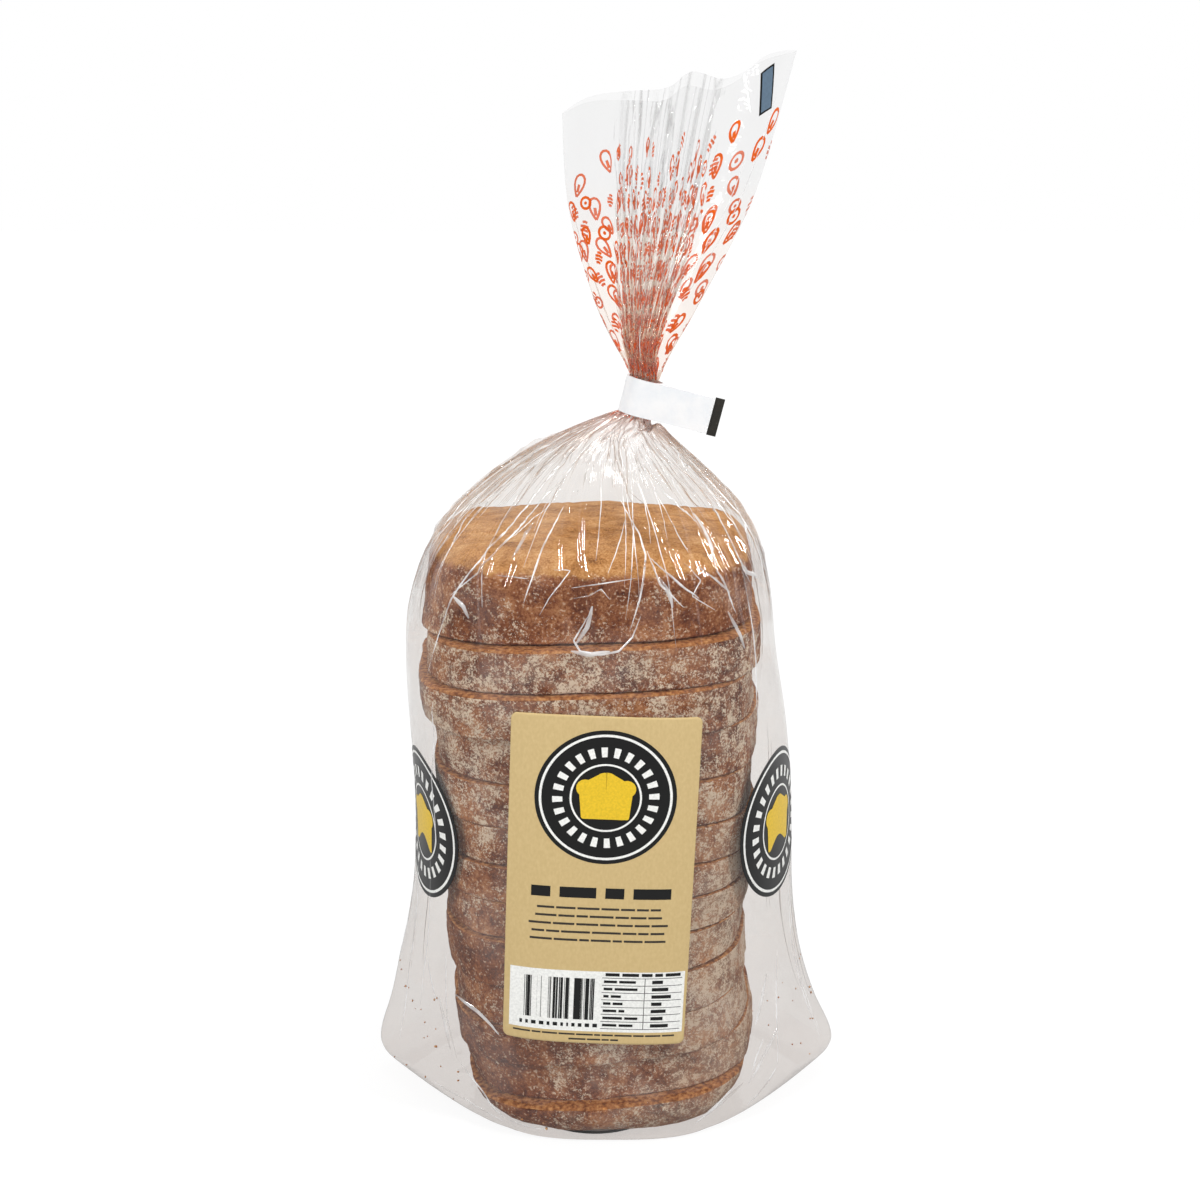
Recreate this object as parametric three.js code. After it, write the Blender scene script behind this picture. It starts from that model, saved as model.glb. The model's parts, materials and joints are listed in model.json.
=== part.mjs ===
// A small sliced loaf standing on its end in a clear film bag. The bag is gathered above the loaf, held by a
// flat adhesive tape whose ends are stuck together as a flag, and flares open again above the tape.
// Millimetres, +Z up. The origin is on the flat base, under the loaf. The label faces -Y.
import * as THREE from 'three';

// The loaf: a bottom heel, eleven thick slices and a top heel, stacked along Z.
const HEEL_BOTTOM = 14.5;
const SLICE_COUNT = 11;
const SLICE = 14.2;
const HEEL_TOP = 25.3;
const LOAF_HEIGHT = HEEL_BOTTOM + SLICE_COUNT * SLICE + HEEL_TOP;

// Half extents of the loaf inside the film, as [height, value] pairs along Z.
const LOAF_LEFT = [[0, -43], [8, -45.5], [24, -47.5], [60, -50], [110, -53], [165, -55], [LOAF_HEIGHT, -54]];
const LOAF_RIGHT = [[0, 45], [8, 47.5], [24, 48], [60, 47], [110, 50], [165, 50], [LOAF_HEIGHT, 49]];

// The film's own silhouette, seen from the front. It stands off the loaf at both sides and ends in two ears,
// where the bottom gusset sticks out.
const FILM_LEFT = [[0, -67], [4, -75.5], [12, -79], [30, -74], [46, -70.5], [61, -67], [84, -64.5],
  [109, -63.8], [131, -65], [159, -65.8], [173, -65], [187, -62.9], [200, -58.3], [207, -53.5],
  [213, -46.5], [220, -38], [226, -28], [231.5, -13]];
const FILM_RIGHT = [[0, 70.5], [4, 79], [12, 83.5], [30, 76], [46, 71], [61, 68.4], [84, 67.4], [109, 66.3],
  [131, 64], [159, 59.3], [173, 58.4], [187, 56.4], [200, 52.1], [207, 48], [213, 41.4], [220, 33],
  [226, 26.7], [231.5, 20.5]];
const FILM_FRONT = [[0, -45.5], [4, -47], [40, -48.5], [100, -49.3], [150, -48.8], [180, -47.5], [195, -44],
  [207, -37.5], [213, -32.5], [220, -25], [226, -17.5], [231.5, -10.5]];
const FILM_BACK = [[0, 44.5], [4, 46], [40, 47], [150, 47], [180, 46], [195, 42.5], [207, 36], [213, 31],
  [220, 24], [226, 17], [231.5, 10.5]];

// How square the section is at the domed front crust and at the flat back crust: 2 is an ellipse.
const SQUARE_FRONT = [[0, 3.3], [14, 3.1], [60, 3.1], [185, 3.1], [207, 2.4], [230, 2]];
const SQUARE_BACK = [[0, 3.3], [14, 3.8], [60, 4.2], [185, 4.2], [207, 2.6], [230, 2]];
const FIN_REACH = 0.86;      // share of the half depth over which a side fin tapers to its edge
const FOOT_LEVELS = [0, 1.6, 5];
const LOAF_TOP_LEVELS = [178, 185, 191, 196];
const SHOULDER_LEVELS = [200, 205, 210, 215, 220, 225, 229, 231.5];

const SLICE_RELIEF = 0.8;    // how far the film dips into each cut and rises over each slice
const SLICE_SHIFT = 0.9;     // how far single slices lie out of line

// The tape round the neck, and the neck's own section inside it.
const TIE_CENTRE = new THREE.Vector3(13.2, 0, 240.3);
const TIE_TILT = THREE.MathUtils.degToRad(14);
const TIE_WIDTH = 11.6;
const TAPE = 0.7;
const FIT_GAP = 0.3;
const NECK_HALF = { x: 5.2, y: 4.8 };
const NECK_STRAIGHT = 7.2;   // half length of the straight stretch inside the tape
const NECK_ROOT = { drop: 1.2, grow: 1.25 };   // where the neck widens into the shoulders
const FLAG_END = 22.4;       // how far the front layer of the flag reaches from the neck's axis
const TAB_LENGTH = 3.0;      // the dark pull tab at the end of the back layer
const LOOP_STEPS = 24;       // straight pieces to a turn of the tape
const TAB_PROUD = 0.3;       // how far the tab stands past the tape's edges
const TAPE_CORNER = 3.4;     // where the layers meet, beside the neck

// The flare above the tape: half width, centre and half depth against its own length, 0 to 1.
const FLARE_BASE = 248;
const FLARE_RISE = 86.5;
const FLARE_LEFT = [[0, 8.2], [0.09, 3.4], [0.21, -1], [0.38, -5.6], [0.55, -9.4], [0.72, -11.6],
  [0.9, -12.4], [1, -12.4]];
const FLARE_RIGHT = [[0, 20], [0.09, 23.4], [0.18, 29], [0.32, 36.8], [0.44, 43], [0.56, 48.6], [0.7, 53],
  [0.86, 57.2], [1, 61]];
const FLARE_DEPTH = [[0, 5], [0.1, 7], [0.25, 9.6], [0.5, 13], [0.75, 15.5], [1, 17]];
// The uneven mouth: its height over or under the mean rim, from the left edge to the right one.
const RIM = [[0, -9.5], [0.12, -3.5], [0.3, -1.8], [0.45, -0.5], [0.53, 4.5], [0.66, 2.2], [0.78, 5],
  [0.83, 10.5], [1, 12.5]];
const RIM_BACK_DROP = 3.5;   // the back of the mouth is a little lower
const FLARE_WALL = 1.5;
const LEVEL_FROM = 0.3;      // share of its length over which the flare turns from the neck's tilt to level
const FLARE_LEVELS = [0.05, 0.12, 0.21, 0.32, 0.44, 0.57, 0.7, 0.83, 0.93, 1];
const HOLLOW_LEVELS = [1, 0.86, 0.7, 0.55, 0.44, 0.34];   // from the mouth down to where the folds close it

// Pleats that run from the shoulders into the neck and out into the flare.
const POINTS = 72;           // points round every section
const FINE_STEPS = 240;      // steps of a half section before its points are spread evenly
const PLEAT_POINTS = 6;      // points to one pleat
const PLEATS = [[0, 0], [178, 0], [190, 0.7], [204, 1.8], [216, 2.0], [226, 1.1], [231, 0.4]];
const INNER_PLEATS = 0.8;    // how much of a pleat shows on the inside of the flare
const FLARE_PLEATS = [[0, 0.15], [0.1, 0.8], [0.25, 1.5], [0.5, 2.3], [0.8, 2.9], [1, 3.1]];

// The label on the front, turned a little clockwise.
const LABEL = { width: 58.6, height: 111.6, corner: 2, thickness: 0.45, gap: 0.7 };
const LABEL_STEPS = { across: 10, up: 14 };
const LABEL_CENTRE = { x: 0, z: 94.4 };
const LABEL_TURN = THREE.MathUtils.degToRad(-2.3);

// Smooth value of a curve given as [position, value] pairs.
function along(curve, at) {
  const last = curve.length - 1;
  if (at <= curve[0][0]) return curve[0][1];
  if (at >= curve[last][0]) return curve[last][1];
  const k = curve.findIndex((row) => row[0] > at) - 1;
  const slope = (j) => {
    const low = Math.max(0, j - 1);
    const high = Math.min(last, j + 1);
    return (curve[high][1] - curve[low][1]) / (curve[high][0] - curve[low][0]);
  };
  const span = curve[k + 1][0] - curve[k][0];
  const t = (at - curve[k][0]) / span;
  const rise = t * t * (3 - 2 * t);
  const bendIn = t * (1 - t) * (1 - t) * span * slope(k);
  const bendOut = t * t * (t - 1) * span * slope(k + 1);
  return curve[k][1] * (1 - rise) + curve[k + 1][1] * rise + bendIn + bendOut;
}

// A repeatable random number from 0 to 1 for a whole number.
function chance(n) {
  const x = Math.sin(n * 12.9898 + 4.1414) * 43758.5453;
  return x - Math.floor(x);
}

// Points at equal steps along a polyline, without its last point.
function evenly(points, count) {
  const lengths = [0];
  for (let i = 1; i < points.length; i++) {
    lengths.push(lengths[i - 1] + points[i].distanceTo(points[i - 1]));
  }
  const whole = lengths[lengths.length - 1];
  const result = [];
  let k = 1;
  for (let i = 0; i < count; i++) {
    const goal = (whole * i) / count;
    while (k < points.length - 1 && lengths[k] < goal) k++;
    const share = (goal - lengths[k - 1]) / (lengths[k] - lengths[k - 1]);
    result.push(points[k - 1].clone().lerp(points[k], share));
  }
  return result;
}

// One half of a section, from the right edge to the left one (front) or back again (back).
function halfSection(box, square, side) {
  const dense = [];
  for (let i = 0; i <= FINE_STEPS; i++) {
    const t = (Math.PI * i) / FINE_STEPS;
    const c = side < 0 ? Math.cos(t) : -Math.cos(t);
    const reach = Math.sign(c) * Math.abs(c) ** (2 / square);
    const depth = Math.abs(Math.sin(t)) ** (2 / square);
    const core = c > 0 ? box.coreRight : box.coreLeft;
    const edge = c > 0 ? box.right : box.left;
    const fin = Math.max(0, 1 - depth / FIN_REACH);
    const x = box.centre + Math.abs(reach) * (core - box.centre) + fin * (edge - core);
    dense.push(new THREE.Vector2(x, depth * (side < 0 ? box.front : box.back)));
  }
  return evenly(dense, POINTS / 2);
}

// A closed section: POINTS points, from the right edge round the front to the left edge and back.
function section(box, squareFront, squareBack) {
  return [...halfSection(box, squareFront, -1), ...halfSection(box, squareBack, 1)];
}

// Moves each point of a section along its normal. The section runs clockwise seen from above, so a positive
// amount goes outwards.
function pushed(points, amount) {
  const count = points.length;
  return points.map((p, i) => {
    const before = points[(i + count - 1) % count];
    const after = points[(i + 1) % count];
    const run = after.clone().sub(before).normalize();
    const move = amount(i, p);
    return new THREE.Vector2(p.x - run.y * move, p.y + run.x * move);
  });
}

// A pleat's height at a point of the section, from about -1 to 1. Its folds are uneven.
function pleat(i) {
  const place = (i % PLEAT_POINTS) / PLEAT_POINTS;
  const wave = 1 - 4 * Math.abs(place - 0.5);
  const fold = Math.floor(i / PLEAT_POINTS);
  return wave * (0.55 + 0.45 * chance(fold + 3)) + 0.5 * (chance(fold + 40) - 0.5);
}

function bodyBox(z) {
  const left = along(FILM_LEFT, z);
  const right = along(FILM_RIGHT, z);
  const over = THREE.MathUtils.smoothstep(z, LOAF_HEIGHT - 12, LOAF_HEIGHT + 12);
  return {
    left,
    right,
    centre: (left + right) / 2,
    coreLeft: THREE.MathUtils.lerp(along(LOAF_LEFT, z), left, over),
    coreRight: THREE.MathUtils.lerp(along(LOAF_RIGHT, z), right, over),
    front: along(FILM_FRONT, z),
    back: along(FILM_BACK, z),
  };
}

// One level ring of the body, with the slices' relief and the shoulder pleats.
function bodyRing(z, relief, shift) {
  const box = bodyBox(z);
  const plain = section(box, along(SQUARE_FRONT, z), along(SQUARE_BACK, z));
  const pleats = along(PLEATS, z);
  const faced = (p) => Math.abs(p.y) / (p.y < 0 ? -box.front : box.back);
  const shaped = pushed(plain, (i, p) => pleats * pleat(i) + relief * faced(p));
  return shaped.map((p) => new THREE.Vector3(p.x + shift * faced(p), p.y, z));
}

// Heights of the body's rings: at each cut a dip, and half way up each slice a rise.
function bodyRings() {
  const rings = FOOT_LEVELS.map((z) => [z, 0, 0]);
  for (let k = 0; k <= SLICE_COUNT; k++) {
    const cut = HEEL_BOTTOM + k * SLICE;
    rings.push([cut, -SLICE_RELIEF, 0]);
    if (k < SLICE_COUNT) rings.push([cut + SLICE / 2, SLICE_RELIEF, SLICE_SHIFT * (2 * chance(k + 9) - 1)]);
  }
  const loafTop = LOAF_TOP_LEVELS.map((z) => [z, SLICE_RELIEF / 2, 0]);
  const shoulder = SHOULDER_LEVELS.map((z) => [z, 0, 0]);
  return [...rings, ...loafTop, ...shoulder].map((row) => bodyRing(...row));
}

// A ring of the neck, square to the neck's tilted axis, at a distance along that axis.
function neckRing(rise, grow) {
  const { x, y } = NECK_HALF;
  const box = { centre: 0, coreLeft: -x, coreRight: x, left: -x, right: x, front: -y, back: y };
  const turn = new THREE.Euler(0, TIE_TILT, 0);
  return section(box, 2, 2).map((p) =>
    new THREE.Vector3(p.x * grow, p.y * grow, rise).applyEuler(turn).add(TIE_CENTRE));
}

// One ring of the flare. Its rings start tilted like the neck and end level, under the uneven rim.
function flareRing(share, inset) {
  const left = along(FLARE_LEFT, share);
  const right = along(FLARE_RIGHT, share);
  const depth = along(FLARE_DEPTH, share);
  const centre = (left + right) / 2;
  const box = { left, right, centre, coreLeft: left, coreRight: right, front: -depth, back: depth };
  const pleats = along(FLARE_PLEATS, share) * (inset > 0 ? INNER_PLEATS : 1);
  const shaped = pushed(section(box, 2, 2), (i) => pleats * pleat(i) - inset);
  const tilt = TIE_TILT * (1 - THREE.MathUtils.smoothstep(share, 0, LEVEL_FROM));
  return shaped.map((p) => {
    const across = THREE.MathUtils.clamp((p.x - left) / (right - left), 0, 1);
    const rim = along(RIM, across) - (p.y > 0 ? RIM_BACK_DROP * (1 - Math.abs(2 * across - 1)) : 0);
    const z = FLARE_BASE + share * FLARE_RISE + rim * share ** 1.5 - (p.x - centre) * Math.tan(tilt);
    return new THREE.Vector3(p.x, p.y, z);
  });
}

// A closed mesh from rings of equal size, with a fan of triangles over the first and the last ring.
function closedLoft(rings, lastCentre) {
  const count = rings[0].length;
  const positions = rings.flat();
  const middle = (ring) => ring.reduce((sum, p) => sum.add(p), new THREE.Vector3()).divideScalar(count);
  const first = positions.push(middle(rings[0])) - 1;
  const last = positions.push(lastCentre ?? middle(rings[rings.length - 1])) - 1;
  const index = [];
  for (let r = 0; r < rings.length - 1; r++) {
    for (let i = 0; i < count; i++) {
      const a = r * count + i;
      const b = r * count + ((i + 1) % count);
      index.push(a, a + count, b, b, a + count, b + count);
    }
  }
  const top = (rings.length - 1) * count;
  for (let i = 0; i < count; i++) {
    const j = (i + 1) % count;
    index.push(first, i, j);
    index.push(last, top + j, top + i);
  }
  const geometry = new THREE.BufferGeometry().setFromPoints(positions);
  geometry.setIndex(index);
  geometry.computeVertexNormals();
  return geometry;
}

// The whole bag as one solid: body, shoulders, neck and the hollow flare.
function bagGeometry() {
  const neck = [
    neckRing(-NECK_STRAIGHT - NECK_ROOT.drop, NECK_ROOT.grow),
    neckRing(-NECK_STRAIGHT, 1),
    neckRing(NECK_STRAIGHT, 1),
  ];
  const outside = FLARE_LEVELS.map((share) => flareRing(share, 0));
  const inside = HOLLOW_LEVELS.map((share) => flareRing(share, FLARE_WALL));
  return closedLoft([...bodyRings(), ...neck, ...outside, ...inside]);
}

// Where the front of the film lies, without relief: its Y for a place on the front.
function frontAt(x, z) {
  const box = bodyBox(z);
  const core = x > box.centre ? box.coreRight : box.coreLeft;
  const square = along(SQUARE_FRONT, z);
  const share = Math.min(1, Math.abs((x - box.centre) / (core - box.centre)));
  return box.front * (1 - share ** square) ** (1 / square);
}

// A grid value from -half to half whose steps include the start of the rounded corner.
function gridLine(half, corner, steps) {
  const inner = half - corner;
  const arc = [0.45, 0.8, 1].map((s) => inner + corner * s);
  const straight = Array.from({ length: steps + 1 }, (_, i) => -inner + (2 * inner * i) / steps);
  return [...arc.map((v) => -v).reverse(), ...straight, ...arc];
}

// Pulls a grid point of a rectangle's corner in, so that the corner becomes round.
function roundCorner(u, v, halfU, halfV, corner) {
  const du = Math.abs(u) - (halfU - corner);
  const dv = Math.abs(v) - (halfV - corner);
  if (du <= 0 || dv <= 0) return [u, v];
  const pull = Math.max(du, dv) / Math.hypot(du, dv);
  return [Math.sign(u) * (halfU - corner + du * pull), Math.sign(v) * (halfV - corner + dv * pull)];
}

// The label as a thin plate bent over the front of the film.
function labelGeometry() {
  const halfU = LABEL.width / 2;
  const halfV = LABEL.height / 2;
  const us = gridLine(halfU, LABEL.corner, LABEL_STEPS.across);
  const vs = gridLine(halfV, LABEL.corner, LABEL_STEPS.up);
  const spin = new THREE.Vector2();
  const sheet = (lift) => vs.flatMap((v) => us.map((u) => {
    spin.set(...roundCorner(u, v, halfU, halfV, LABEL.corner)).rotateAround(new THREE.Vector2(), LABEL_TURN);
    const x = LABEL_CENTRE.x + spin.x;
    const z = LABEL_CENTRE.z + spin.y;
    return new THREE.Vector3(x, frontAt(x, z) - SLICE_RELIEF - LABEL.gap - lift, z);
  }));
  const back = sheet(0);
  const positions = [...back, ...sheet(LABEL.thickness)];
  const columns = us.length;
  const rows = vs.length;
  const size = columns * rows;
  const index = [];
  for (let r = 0; r < rows - 1; r++) {
    for (let c = 0; c < columns - 1; c++) {
      const a = r * columns + c;
      const b = a + 1;
      const d = a + columns;
      const e = d + 1;
      index.push(a, d, b, b, d, e);
      index.push(size + a, size + b, size + d, size + b, size + e, size + d);
    }
  }
  const wall = (a, b) => index.push(a, b, size + a, b, size + b, size + a);
  for (let c = 0; c < columns - 1; c++) {
    wall(c, c + 1);
    wall((rows - 1) * columns + c + 1, (rows - 1) * columns + c);
  }
  for (let r = 0; r < rows - 1; r++) {
    wall((r + 1) * columns, r * columns);
    wall(r * columns + columns - 1, (r + 1) * columns + columns - 1);
  }
  const geometry = new THREE.BufferGeometry().setFromPoints(positions);
  geometry.setIndex(index);
  geometry.computeVertexNormals();
  return geometry;
}

// An extrusion standing across Z, centred on it, in the tape's own frame.
function upright(shape, height, segments) {
  const settings = { depth: height, bevelEnabled: false, curveSegments: segments };
  const geometry = new THREE.ExtrudeGeometry(shape, settings);
  return geometry.translate(0, 0, -height / 2);
}

// The tape: its front layer runs straight past the neck, and its back layer goes round and meets it.
function tieGeometry() {
  const holeX = NECK_HALF.x + FIT_GAP;
  const holeY = NECK_HALF.y + FIT_GAP;
  const outX = holeX + TAPE;
  const outY = holeY + TAPE;
  const meet = outX + TAPE_CORNER;
  const shape = new THREE.Shape();
  shape.moveTo(0, -outY);
  shape.lineTo(FLAG_END, -outY);
  shape.lineTo(FLAG_END, -outY + 2 * TAPE);
  shape.lineTo(meet, -outY + 2 * TAPE);
  shape.quadraticCurveTo(outX, -outY + 2 * TAPE, outX, 0);
  shape.absellipse(0, 0, outX, outY, 0, 1.5 * Math.PI, false, 0);
  const hole = new THREE.Path();
  hole.absellipse(0, 0, holeX, holeY, 0, 2 * Math.PI, true, 0);
  shape.holes.push(hole);
  return upright(shape, TIE_WIDTH, LOOP_STEPS);
}

// The stiff dark tab at the end of the tape's back layer.
function tabGeometry() {
  const back = -(NECK_HALF.y + FIT_GAP + TAPE) + 2 * TAPE;
  const start = FLAG_END + FIT_GAP;
  const shape = new THREE.Shape();
  shape.moveTo(start, back - TAPE);
  shape.lineTo(start + TAB_LENGTH, back - TAPE);
  shape.lineTo(start + TAB_LENGTH, back);
  shape.lineTo(start, back);
  shape.closePath();
  return upright(shape, TIE_WIDTH + 2 * TAB_PROUD, 1);
}

function piece(name, geometry, color, roughness) {
  const mesh = new THREE.Mesh(geometry, new THREE.MeshStandardMaterial({ color, roughness, metalness: 0 }));
  mesh.name = name;
  return mesh;
}

const loaf = new THREE.Group();
loaf.add(piece('bag', bagGeometry(), 0x9b7660, 0.35));
loaf.add(piece('label', labelGeometry(), 0xd2b886, 0.55));

const closure = new THREE.Group();
closure.position.copy(TIE_CENTRE);
closure.rotation.y = TIE_TILT;
closure.add(piece('tie', tieGeometry(), 0xeef0f2, 0.4));
closure.add(piece('tie_tab', tabGeometry(), 0x2e2a1c, 0.6));
loaf.add(closure);

export default loaf;
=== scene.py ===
# %% [markdown]
# # A small sliced loaf in a clear bread bag
#
# The real thing stands on its bottom heel: thirteen pieces of a floury wholemeal loaf, one on another,
# in a bag of clear film. The film is gathered above the loaf, held by a white tape whose ends are stuck
# together, and flares open again above it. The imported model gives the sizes. Here the plain solid of
# the bag is replaced by what it stands for: the film as a thin sheet with its real folds, and the bread
# inside it.
#
# Everything is worked out in millimetres and turned to metres when a mesh is made.

import json
import math

import bpy
import numpy as np
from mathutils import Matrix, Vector

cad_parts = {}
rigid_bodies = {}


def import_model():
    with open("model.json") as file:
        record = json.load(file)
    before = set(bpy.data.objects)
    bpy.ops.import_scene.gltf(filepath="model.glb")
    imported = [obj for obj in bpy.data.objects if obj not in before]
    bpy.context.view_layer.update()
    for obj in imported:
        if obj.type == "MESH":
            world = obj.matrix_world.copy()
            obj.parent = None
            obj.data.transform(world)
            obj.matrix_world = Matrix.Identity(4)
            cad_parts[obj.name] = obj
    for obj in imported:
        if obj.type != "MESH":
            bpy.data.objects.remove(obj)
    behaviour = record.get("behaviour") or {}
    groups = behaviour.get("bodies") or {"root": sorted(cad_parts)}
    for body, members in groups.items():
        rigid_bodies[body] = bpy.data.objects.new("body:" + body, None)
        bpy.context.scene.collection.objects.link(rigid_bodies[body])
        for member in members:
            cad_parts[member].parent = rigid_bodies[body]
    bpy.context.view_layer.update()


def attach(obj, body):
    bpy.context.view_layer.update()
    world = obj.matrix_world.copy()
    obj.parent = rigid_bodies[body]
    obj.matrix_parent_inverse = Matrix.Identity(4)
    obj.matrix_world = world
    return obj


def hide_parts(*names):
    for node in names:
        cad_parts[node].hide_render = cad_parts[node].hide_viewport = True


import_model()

# %% [markdown]
# ## Curves and chance
#
# Most forms here are a few measured widths along a length, with a smooth curve through them. One
# function reads such a curve. Natural unevenness comes from noise: random values on a lattice, blended
# between its points. Both give the same numbers on every run, because every random draw has a seed.

# %% Smooth curves through a few points


def along(curve, at):
    """Smooth value of a curve given as (position, value) pairs."""
    places, values = np.array(curve, float).T
    steps = np.arange(len(places))
    before = np.maximum(steps - 1, 0)
    after = np.minimum(steps + 1, len(places) - 1)
    slope = (values[after] - values[before]) / (places[after] - places[before])
    at = np.clip(at, places[0], places[-1])
    k = np.clip(np.searchsorted(places, at, "right") - 1, 0, len(places) - 2)
    span = places[k + 1] - places[k]
    t = (at - places[k]) / span
    rise = t * t * (3 - 2 * t)
    bend = t * (1 - t) ** 2 * span * slope[k] + t * t * (t - 1) * span * slope[k + 1]
    return values[k] * (1 - rise) + values[k + 1] * rise + bend


def smooth_step(value, low, high):
    """0 below the low value, 1 above the high one, and a soft rise between them."""
    t = np.clip((value - low) / (high - low), 0, 1)
    return t * t * (3 - 2 * t)


print("a quarter of the way along a smooth step:", smooth_step(0.25, 0, 1))

# %% Noise on a lattice
LATTICE = 32


def noise(points, size, seed):
    """Noise from -1 to 1 with features of a given size in mm, at points in mm."""
    values = np.random.RandomState(seed).uniform(-1, 1, (LATTICE, LATTICE, LATTICE))
    place = np.asarray(points) / size
    cell = np.floor(place).astype(int)
    t = place - cell
    t = t * t * (3 - 2 * t)
    total = 0
    for corner in range(8):
        step = np.array([corner & 1, (corner >> 1) & 1, corner >> 2])
        index = (cell + step) % LATTICE
        weight = np.prod(np.where(step == 1, t, 1 - t), axis=-1)
        total = total + values[index[..., 0], index[..., 1], index[..., 2]] * weight
    return total


print("noise at one place:", round(float(noise([1.0, 2.0, 3.0], 10, 1)), 3))


# %% Meshes from points in millimetres
def grid_faces(rows, columns, closed):
    """Quads of a grid of points; closed joins its last column to its first."""
    row, column = np.mgrid[0:rows - 1, 0:columns if closed else columns - 1]
    beside = (column + 1) % columns
    quads = [row * columns + column, row * columns + beside, (row + 1) * columns + beside,
             (row + 1) * columns + column]
    return np.stack(quads, -1).reshape(-1, 4)


print("quads of a closed grid of 3 by 4 points", len(grid_faces(3, 4, True)))


def make_piece(name, points, faces, material):
    """A mesh object from points in mm, riding on the one body of this part."""
    mesh = bpy.data.meshes.new(name)
    mesh.from_pydata((np.asarray(points).reshape(-1, 3) / 1000).tolist(), [], [list(face) for face in faces])
    mesh.shade_smooth()
    mesh.materials.append(material)
    piece = bpy.data.objects.new(name, mesh)
    bpy.context.scene.collection.objects.link(piece)
    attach(piece, "root")
    return piece


# %% [markdown]
# ## Materials from nodes
#
# Colours are written as sRGB hex values, as a colour picker shows them, and one function turns them to
# the linear values that shaders use. One small function adds a node with its settings and links.

# %% Colours and nodes


def linear(hex_colour):
    """An sRGB hex colour as linear red, green, blue and alpha."""
    channels = [int(hex_colour[k:k + 2], 16) / 255 for k in (0, 2, 4)]
    return [c / 12.92 if c <= 0.04045 else ((c + 0.055) / 1.055) ** 2.4 for c in channels] + [1.0]


def new_material(name):
    """A material without any nodes yet."""
    material = bpy.data.materials.new(name)
    material.use_nodes = True
    material.node_tree.nodes.clear()
    return material


def add(owner, kind, inputs=(), stops=(), **settings):
    """Adds a node. Inputs, by order or name, are values, sockets or nodes. Stops set a colour ramp."""
    node = owner.node_tree.nodes.new("ShaderNode" + kind)
    for name, value in settings.items():
        setattr(node, name, value)
    for socket, value in inputs.items() if isinstance(inputs, dict) else enumerate(inputs):
        if isinstance(value, bpy.types.Node):
            value = next(output for output in value.outputs if output.enabled)
        if isinstance(value, bpy.types.NodeSocket):
            owner.node_tree.links.new(value, node.inputs[socket])
        else:
            node.inputs[socket].default_value = value
    for count, (position, colour) in enumerate(stops):
        if count > 1:
            node.color_ramp.elements.new(position)
        node.color_ramp.elements[count].position = position
        node.color_ramp.elements[count].color = linear(colour)
    return node


def place_in_mm(owner):
    """The shaded point's place in space, so that every pattern keeps its true size on every piece."""
    return add(owner, "VectorMath", {0: add(owner, "NewGeometry"), 3: 1000.0}, operation="SCALE")


print("middle grey as a linear value", round(linear("808080")[0], 3))

# %% [markdown]
# ## The loaf's form
#
# The tin gives a loaf flat sides and a flat bottom crust, which faces the back here, and the top crust
# is domed, which faces the front. So its outline is a rounded rectangle whose front half is rounder
# than its back half. It could be sculpted by hand, but a formula between a few measured widths gives
# the outline at any height, and each slice can then be made from it.

# %% The loaf's outline at any height
LOAF_HEIGHT = 196.0
LOAF_LEFT = [(0, -40), (8, -43), (23, -47), (42, -49.8), (60, -51.1), (96, -53.6), (134, -55.3),
             (149, -58.2), (164, -58.2), (181, -56.1), (196, -55)]
LOAF_RIGHT = [(0, 46), (8, 49.4), (23, 51.5), (42, 49.4), (60, 48.6), (96, 50.8), (134, 51.5), (164, 50.9),
              (181, 50.3), (196, 49.5)]
LOAF_FRONT = 46.2
LOAF_BACK = 45.0
# The powers of the rounded rectangle: the larger, the squarer are its corners.
DOME = 3.0
FLAT_BACK = 4.5


def loaf_outline(turn, z):
    """X and Y of the crust for a turn in radians from +X towards -Y."""
    left = along(LOAF_LEFT, z)
    right = along(LOAF_RIGHT, z)
    front = np.sin(turn) > 0
    square = np.where(front, DOME, FLAT_BACK)
    across = np.sign(np.cos(turn)) * np.abs(np.cos(turn)) ** (2 / square)
    depth = np.abs(np.sin(turn)) ** (2 / square)
    x = (left + right) / 2 + across * (right - left) / 2
    y = np.where(front, -depth * LOAF_FRONT, depth * LOAF_BACK)
    return x, y


print("loaf half way up, from X", along(LOAF_LEFT, 98).round(1), "to", along(LOAF_RIGHT, 98).round(1))

# %% [markdown]
# ## The slices
#
# The loaf is cut into eleven slices and two heels. In the bag they have slid and tilted a little
# against each other, so that in places the rim of a cut shows, a lighter orange brown than the crust.
# Each slice is a piece of its own. Its wall follows the crust, with the bumps of the dough, and its
# faces are crumb. Slices could be cut from one loaf with Booleans, but rings of points from the middle
# of one face round to the middle of the other leave an even mesh, which takes the small bumps well.

# %% Where the cuts run
# Their heights over the middle and their tilts in degrees, from the bottom up.
CUTS = [14.5, 28.5, 43, 57.5, 72.5, 85, 97, 110, 125, 141, 156, 170.5]
TILTS = [4.5, 5, 5.5, 5.5, 2.5, 1.5, 0, 0, 0.5, 1, 1.5, 2]
GAP = 0.35
LOAF_FOOT = 0.6


def cut_height(k, x):
    """Height of a cut's plane. The cuts lean, higher on the right."""
    return CUTS[k] + np.tan(np.radians(TILTS[k])) * x


# How far single pieces have slid: right, forward, and turned about Z in degrees.
SLIDES = [(-0.4, 2.4, -0.4), (0.7, -2.1, 0.4), (-0.5, 0.4, 0), (0.9, -0.6, -0.5), (-0.7, 0.2, 0.5),
          (0.6, -0.6, -0.5), (-0.4, 0.1, 0.4), (0.7, -0.7, 0.2), (-0.6, 0, -0.4), (0.5, -1.0, 0.5),
          (-1.2, 2.4, 1.4), (1.5, 0.6, 1.2), (-0.3, -3.4, -2.2)]
print("cuts", len(CUTS), "pieces", len(SLIDES))

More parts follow.
